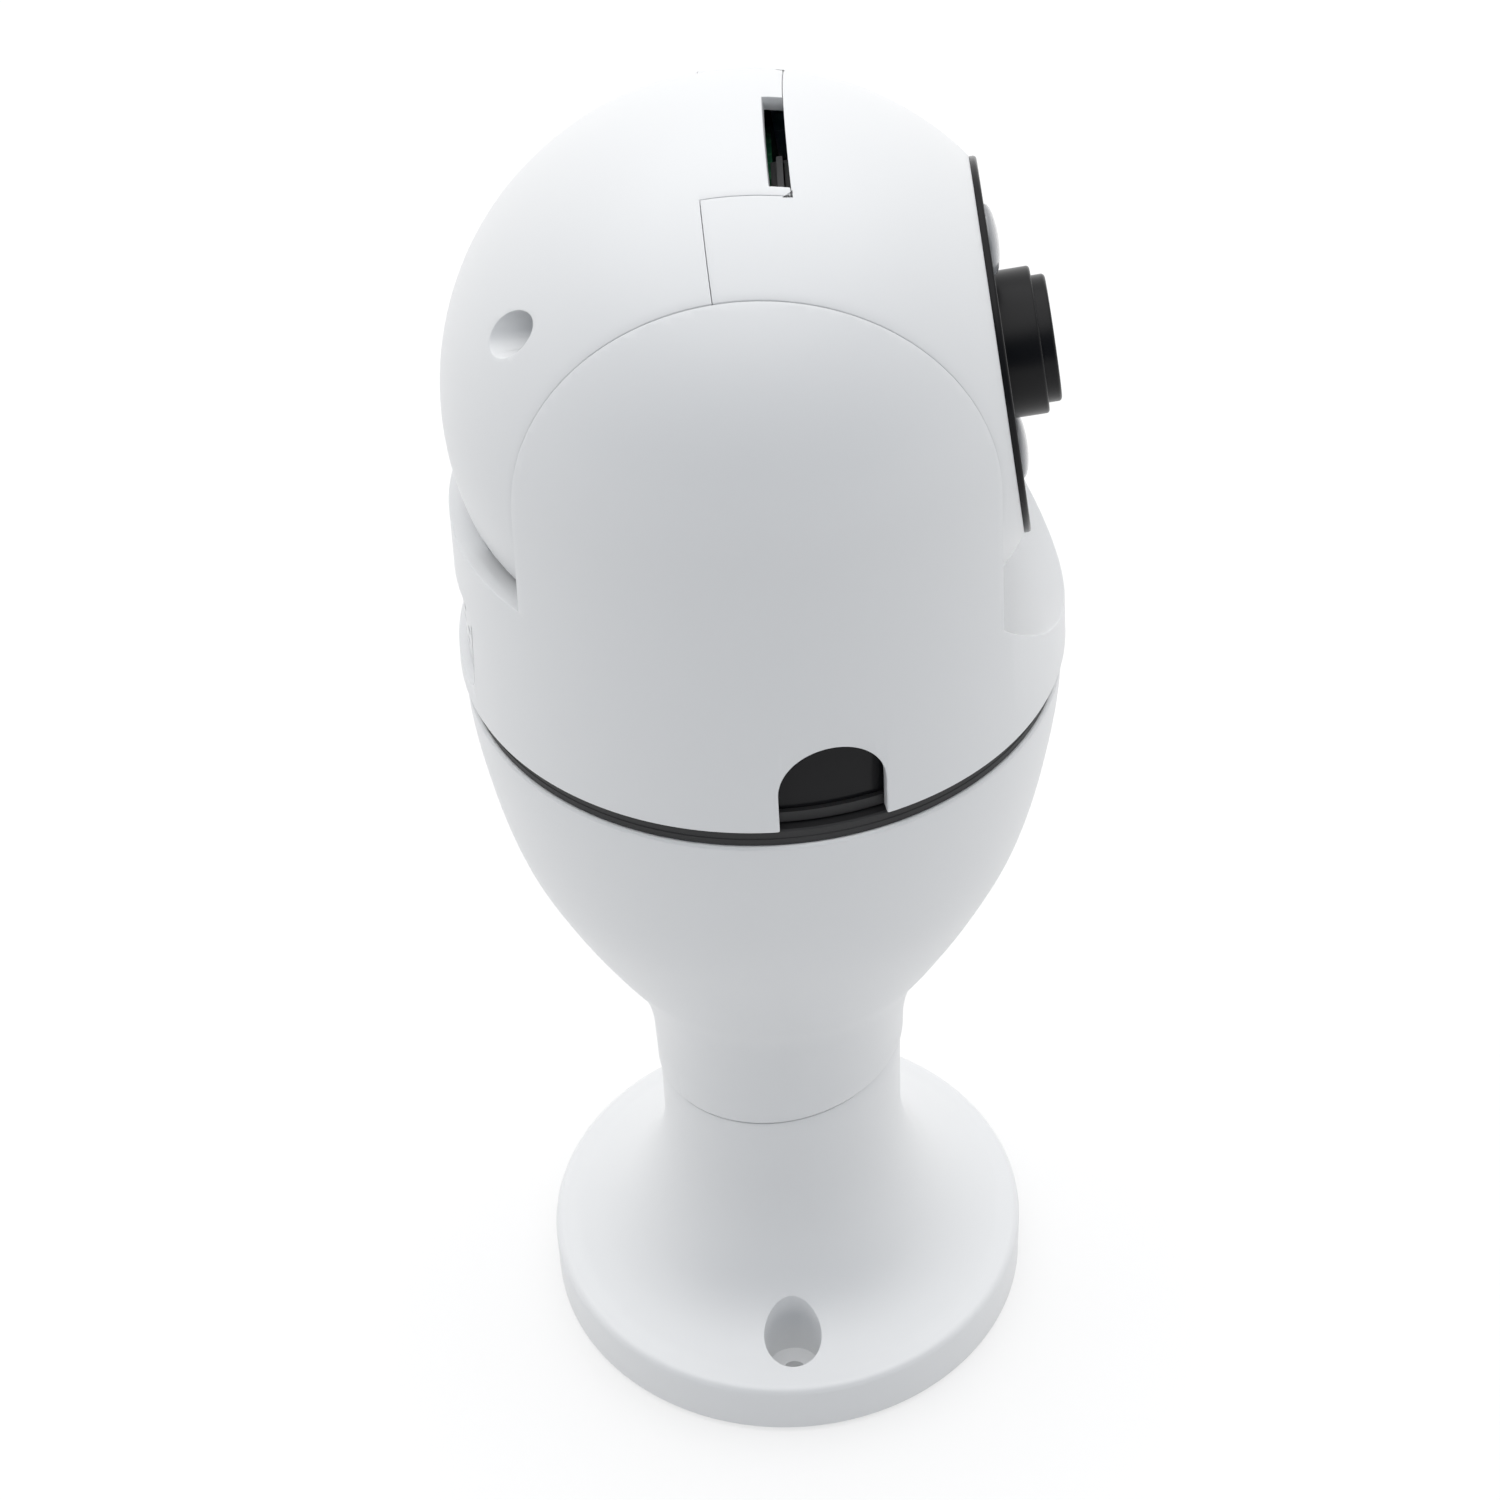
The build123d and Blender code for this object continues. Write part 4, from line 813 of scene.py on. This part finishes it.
# --------------------------------------------------------------------------- yoke
@dataclass
class Yoke:
    """The turning body with two cheeks, a round cut in front and a low lip behind."""

    bottom: float = low("yoke_shell", 2)
    radius: float = high("yoke_shell", 0) - SKIN
    mid_height: float = 180.0
    mid_radius: float = 48.95
    wall: float = 2.2
    steps: int = 200
    sphere: float = 48.3 - SKIN
    tilt_height: float = 207.5
    cheek_face: float = 32.0
    rear_lip: float = 190.3
    front_cut: float = 40.5
    notch_turn: float = 11.4
    notch_width: float = 17.0
    notch_arch: float = 166.0
    notch_flare: float = 0.6
    recess_width: float = 36.0
    recess_height: float = 16.0
    recess_corner: float = 3.0
    recess_middle: float = 171.0

    def solid(self, name: str, inset: float) -> bpy.types.Object:
        """Make the yoke's full round form.

        Args:
            name: The new object's name.
            inset: How far inside the outer surface it stays, in millimetres.

        Returns:
            The closed form.
        """
        ball = self.sphere - inset
        lift = 0.4 if inset == 0 else -1.0
        lower = [(self.radius - inset, self.bottom + lift)]
        for i in range(14):
            part = i / 14
            lower.append((self.mid_radius + (self.sphere - self.mid_radius) * part - inset,
                          self.mid_height + (self.tilt_height - self.mid_height) * part))
        upper = arc(ball, 0, 90, 56, (0, self.tilt_height))
        start = [(0, self.bottom + min(lift, 0))]
        if inset == 0:
            start.append((self.radius - 0.4, self.bottom))
        else:
            start.append((self.radius - inset, self.bottom + lift))
            lower = lower[1:]
        return turned(name, start + lower + upper, Turn.UPRIGHT, self.steps)

    def build(self) -> None:
        """Make the yoke's shell."""
        shell = self.solid("yoke", 0.0)
        combine(shell, self.solid("hollow", self.wall), Cut.AWAY)
        combine(shell, self.bay_tool(), Cut.AWAY)
        combine(shell, self.notch_tool(self.notch_width), Cut.AWAY)
        combine(shell, self.recess_tool(0.0, 80.0), Cut.AWAY)
        soften(shell, 0.24, 3)
        deliver(shell, "yoke", "white_casing", ["yoke_shell"])

    def bay_tool(self) -> bpy.types.Object:
        """Make the tool for the head's bay: round below in front, down to the lip behind."""
        edge = math.degrees(math.acos(self.cheek_face / self.front_cut))
        outline = arc(self.front_cut, -180 + edge, -edge, 96, (0, self.tilt_height))
        outline += [(self.cheek_face, 300.0), (-self.cheek_face, 300.0)]
        tool = prism("bay", outline, -80.0, 80.0)
        return combine(tool, block("lip", (-60, 0, 100), (60, 90, self.rear_lip)), Cut.AWAY)

    def notch_tool(self, width: float) -> bpy.types.Object:
        """Make the arch-topped tool for the notch in the yoke's lower edge.

        Args:
            width: The notch's width in millimetres.

        Returns:
            The tool, already turned to the notch's place.
        """
        half = width / 2
        flare = self.notch_flare
        left = [(-half - 1.2 * flare, self.bottom - 3)]
        left += arc(flare, -75, 0, 5, (-half - flare, self.bottom + flare))
        right = [(-x, z) for x, z in reversed(left)]
        outline = left + arc(half, 180, 0, 48, (0, self.notch_arch)) + right
        tool = prism("notch", outline, -60.0, -40.0)
        tool.rotation_euler = (0, 0, math.radians(self.notch_turn - 90))
        return settle(tool)

    def recess_tool(self, inset: float, end: float) -> bpy.types.Object:
        """Make the tool for the pill-shaped recess at the back.

        Args:
            inset: How far its outline is inside the recess, in millimetres.
            end: Where it ends along Y.

        Returns:
            The tool.
        """
        wide = self.recess_width / 2 - inset
        tall = self.recess_height / 2 - inset
        tool = block("recess", (-wide, 30, self.recess_middle - tall),
                     (wide, end, self.recess_middle + tall))
        return round_corners(tool, 1, self.recess_corner - inset)


# --------------------------------------------------------------------------- head
@dataclass
class Head:
    """The ball head: two casings, the face, the lens barrel and the card slot."""

    radius: float = 48.0
    half_width: float = 31.7
    inner_half_width: float = 29.5
    wall: float = 2.2
    face: float = 38.2
    seam_gap: float = 0.05
    edge_round: float = 0.1
    tab_half_width: float = 18.0
    tab_front: float = 12.8
    slot: tuple[float, float, float] = (-16.5, 3.7, 9.8)
    vent: Profile = ((16.4, -6.3), (28.0, -10.8), (28.0, -20.0), (16.4, -20.0))
    screw_x: float = 21.4
    screw_up: float = 29.9
    screw_radius: float = 3.2
    screw_seat: float = 12.0
    rise: float = 8.0
    tilt_height: float = 207.5

    def place(self, piece: bpy.types.Object) -> bpy.types.Object:
        """Turn a piece from the level pose about the head's centre to its resting place.

        Args:
            piece: A piece modelled with the lens level, the head's centre at the origin.

        Returns:
            The piece, in place.
        """
        piece.rotation_euler = (-math.radians(self.rise), 0, 0)
        piece.location = (0, 0, self.tilt_height * MM)
        return settle(piece)

    def drum(self, name: str, radius: float, half_width: float, front: float) -> bpy.types.Object:
        """Make a ball with flat sides and a flat front.

        Args:
            name: The new object's name.
            radius: The ball's radius.
            half_width: Distance of its flat sides from the middle.
            front: Distance of its flat front from the middle.

        Returns:
            The closed solid, level, about the origin.
        """
        edge = math.degrees(math.asin(half_width / radius))
        profile = [(0, -half_width)] + [
            (r, x) for r, x in arc(radius, -edge, edge, 48)] + [(0, half_width)]
        piece = turned(name, profile, Turn.SIDEWAYS, 192)
        combine(piece, block("face", (-80, -90, -80), (80, -front, 80)), Cut.AWAY)
        return piece

    def casing(self, name: str) -> bpy.types.Object:
        """Make the whole casing with its cavity and the posts for its screws."""
        outer = self.drum(name, self.radius, self.half_width, self.face)
        inner = self.drum("cavity", self.radius - self.wall, self.inner_half_width, self.face - self.wall)
        for x in (-self.screw_x, self.screw_x):
            for up in (-self.screw_up, self.screw_up):
                combine(inner, rod("post", self.screw_radius + 1.4, (x, -60, up), (x, 60, up)), Cut.AWAY)
        return combine(outer, inner, Cut.AWAY)

    def parting(self, grow: float) -> bpy.types.Object:
        """Make the region of the rear casing: the rear half and the tongue at the top.

        Args:
            grow: How far its front faces move forwards, in millimetres.

        Returns:
            The region as one body.
        """
        half = block("half", (-80, -grow, -80), (80, 90, 80))
        wide = self.tab_half_width + grow
        tongue = block("tongue", (-wide, -self.tab_front - grow, 20), (wide, 5, 70))
        return combine(half, tongue, Cut.JOIN)

    def build(self) -> None:
        """Make the head's pieces."""
        rear = combine(self.casing("head_rear"), self.parting(-self.seam_gap), Cut.KEEP)
        start, end, back = self.slot
        combine(rear, block("slot", (start, -30, 25), (end, -back, 70)), Cut.AWAY)
        for x in (-self.screw_x, self.screw_x):
            for up in (-self.screw_up, self.screw_up):
                combine(rear, rod("well", self.screw_radius, (x, self.screw_seat, up), (x, 70, up)), Cut.AWAY)
        for side in (-1, 1):
            outline = [(side * x, up) for x, up in self.vent]
            combine(rear, prism("vent", outline, 4.0, 70.0), Cut.AWAY)
        soften(rear, self.edge_round)
        deliver(self.place(rear), "head", "white_casing", ["head_rear_shell"])
        front = combine(self.casing("head_front"), self.parting(self.seam_gap), Cut.AWAY)
        combine(front, rod("opening", 25.2, (0, -60, 0), (0, -20, 0), 128), Cut.AWAY)
        soften(front, self.edge_round)
        deliver(self.place(front), "head", "white_casing", ["head_front_shell"])
        self.build_face()
        self.build_lens()

    def build_face(self) -> None:
        """Make the black face plate and the lamp windows."""
        front = 39.3
        plate = turned("face_plate_black", [
            (0, -37.6), (25.1, -37.6), (25.1, -self.face), (28.9, -self.face), (28.9, -front + 0.4),
            (28.75, -front + 0.12), (28.5, -front), (0, -front)], Turn.LENGTHWAYS, 192)
        combine(plate, rod("bore", 11.48, (0, -50, 0), (0, -30, 0), 128), Cut.AWAY)
        for up in (-19.0, 19.0):
            combine(plate, rod("window", 5.5, (0, -50, up), (0, -30, up), 96), Cut.AWAY)
        combine(plate, rod("sound", 0.6, (19.5, -50, 0), (19.5, -30, 0), 24), Cut.AWAY)
        soften(plate, 0.12, 2, 50)
        deliver(self.place(plate), "head", "black_gloss", ["face_plate"])
        windows = []
        for up in (-19.0, 19.0):
            dome = [(0, -37.0), (5.45, -37.0), (5.45, -front)] + [
                (5.45 * math.cos(a), -front - 1.5 * math.sin(a))
                for a in [math.radians(10 * i) for i in range(1, 9)]] + [(0, -front - 1.5)]
            windows.append(turned("lamp_window", dome, Turn.LENGTHWAYS, 64, (0, 0, up * MM)))
        deliver(self.place(join("lamp_windows_grey", windows)), "head", "grey_window", ["lamp_windows"])

    def build_lens(self) -> None:
        """Make the lens housing, the barrel and the front glass."""
        housing = turned("lens_housing_black", [
            (9.9, -34.0), (13.2, -34.0), (13.2, -38.1), (11.33, -38.1), (11.33, -44.4), (11.2, -44.65),
            (10.93, -44.8), (9.9, -44.8), (9.9, -34.0)], Turn.LENGTHWAYS, 128)
        deliver(self.place(housing), "head", "lens_black", ["lens_housing"])
        barrel = turned("lens_barrel_black", [
            (6.6, -20.5), (9.78, -20.5), (9.78, -46.5), (9.6, -46.8), (9.28, -46.95), (8.7, -46.95),
            (8.6, -46.8), (8.3, -46.0), (7.9, -45.9), (7.7, -45.2), (7.4, -45.1), (7.2, -44.3),
            (6.9, -44.2), (6.6, -43.0), (6.6, -20.5)], Turn.LENGTHWAYS, 128)
        deliver(self.place(barrel), "head", "lens_black", ["lens_barrel"])
        bulge = 1.8
        ball = (6.6 ** 2 + bulge ** 2) / (2 * bulge)
        edge = math.degrees(math.asin(6.6 / ball))
        dome = [(ball * math.sin(math.radians(edge * (1 - i / 16))),
                 -41.0 + (ball - bulge) - ball * math.cos(math.radians(edge * (1 - i / 16))))
                for i in range(17)]
        glass = turned("front_lens_glass", [(0, -39.5), (6.6, -39.5)] + dome, Turn.LENGTHWAYS, 96)
        deliver(self.place(glass), "head", "lens_glass", ["front_lens"])


# --------------------------------------------------------------------------- studio
@dataclass
class Studio:
    """Pale floor, soft light and the camera."""

    camera_place: Point = (-0.3858, 0.0, 0.4729)
    camera_height: float = 42.1
    camera_roll: float = -2.48
    lens: float = 72.0
    shift: tuple[float, float] = (-19 / 1500, 34 / 1500)
    front_light: tuple[float, float, float] = (0.0, 0.03, 0.07)
    side_light: tuple[float, float, float] = (0.93, 0.93, 0.93)
    top_light: tuple[float, float, float] = (2.25, 2.25, 2.25)
    dim_edges: tuple[float, float] = (-0.7, 0.0)
    top_edges: tuple[float, float] = (0.55, 0.92)
    floor_glow: float = 0.55

    def build(self) -> None:
        """Make the floor, the light and the camera."""
        scene = bpy.context.scene
        scene.view_settings.view_transform = "Standard"
        self.build_floor()
        self.build_light()
        self.build_camera()

    def build_floor(self) -> None:
        """Make the pale floor."""
        deselect()
        bpy.ops.mesh.primitive_circle_add(vertices=96, radius=4.0, fill_type="NGON")
        floor = bpy.context.object
        floor.name = "floor"
        made = bpy.data.materials.new("floor_finish")
        made.use_nodes = True
        shader = made.node_tree.nodes["Principled BSDF"]
        shader.inputs["Base Color"].default_value = (0.36, 0.36, 0.36, 1)
        shader.inputs["Roughness"].default_value = 0.9
        shader.inputs["Emission Color"].default_value = (1, 1, 1, 1)
        shader.inputs["Emission Strength"].default_value = self.floor_glow
        floor.data.materials.append(made)

    def build_light(self) -> None:
        """Make the soft studio light: bright above, behind and beside, dim in front."""
        world = bpy.data.worlds.new("studio")
        bpy.context.scene.world = world
        world.use_nodes = True
        nodes, links = world.node_tree.nodes, world.node_tree.links
        soft = nodes["Background"]
        place = nodes.new("ShaderNodeTexCoord")
        axes = nodes.new("ShaderNodeSeparateXYZ")
        links.new(place.outputs["Generated"], axes.inputs["Vector"])
        ahead = nodes.new("ShaderNodeMapRange")
        ahead.interpolation_type = "SMOOTHSTEP"
        ahead.inputs["From Min"].default_value = self.dim_edges[0]
        ahead.inputs["From Max"].default_value = self.dim_edges[1]
        links.new(axes.outputs["X"], ahead.inputs["Value"])
        sides = nodes.new("ShaderNodeMix")
        sides.data_type = "RGBA"
        sides.inputs["A"].default_value = (*self.front_light, 1)
        sides.inputs["B"].default_value = (*self.side_light, 1)
        links.new(ahead.outputs["Result"], sides.inputs["Factor"])
        above = nodes.new("ShaderNodeMapRange")
        above.interpolation_type = "SMOOTHSTEP"
        above.inputs["From Min"].default_value = self.top_edges[0]
        above.inputs["From Max"].default_value = self.top_edges[1]
        links.new(axes.outputs["Z"], above.inputs["Value"])
        whole = nodes.new("ShaderNodeMix")
        whole.data_type = "RGBA"
        whole.inputs["B"].default_value = (*self.top_light, 1)
        links.new(above.outputs["Result"], whole.inputs["Factor"])
        links.new(sides.outputs["Result"], whole.inputs["A"])
        links.new(whole.outputs["Result"], soft.inputs["Color"])
        backdrop = nodes.new("ShaderNodeBackground")
        backdrop.inputs["Color"].default_value = (1, 1, 1, 1)
        path = nodes.new("ShaderNodeLightPath")
        choice = nodes.new("ShaderNodeMixShader")
        links.new(path.outputs["Is Camera Ray"], choice.inputs[0])
        links.new(soft.outputs["Background"], choice.inputs[1])
        links.new(backdrop.outputs["Background"], choice.inputs[2])
        links.new(choice.outputs["Shader"], nodes["World Output"].inputs["Surface"])

    def build_camera(self) -> None:
        """Make the camera."""
        data = bpy.data.cameras.new("camera")
        data.lens = self.lens
        data.shift_x, data.shift_y = self.shift
        data.clip_start = 0.01
        camera = bpy.data.objects.new("camera", data)
        bpy.context.scene.collection.objects.link(camera)
        height = math.radians(self.camera_height)
        roll = math.radians(self.camera_roll)
        ahead = Vector((math.cos(height), 0, -math.sin(height)))
        right = Vector((0, -1, 0))
        up = Vector((math.sin(height), 0, math.cos(height)))
        turned_right = math.cos(roll) * right + math.sin(roll) * up
        turned_up = -math.sin(roll) * right + math.cos(roll) * up
        turn = Matrix((turned_right, turned_up, -ahead)).transposed()
        camera.matrix_world = Matrix.Translation(self.camera_place) @ turn.to_4x4()
        bpy.context.scene.camera = camera


def dress_frame() -> None:
    """Give every carried-over CAD node the finish of its material slot."""
    slots = {part["node"]: part["material_slot"] for part in frame["record"]["subparts"]}
    for name, node in frame["nodes"].items():
        finish = FINISHES[slots[name]].material()
        node.data.materials.clear()
        node.data.materials.append(finish)
        node.data.polygons.foreach_set("material_index", [0] * len(node.data.polygons))
        log.info("%s: CAD node dressed as %s", name, slots[name])


def main() -> None:
    """Build the whole model."""
    logging.basicConfig(level=logging.INFO, format="%(message)s")
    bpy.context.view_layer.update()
    dress_frame()
    Studio().build()
    foot = Foot()
    foot.build()
    Bowl().build(foot)
    Yoke().build()
    Head().build()


if __name__ == "__main__":
    main()
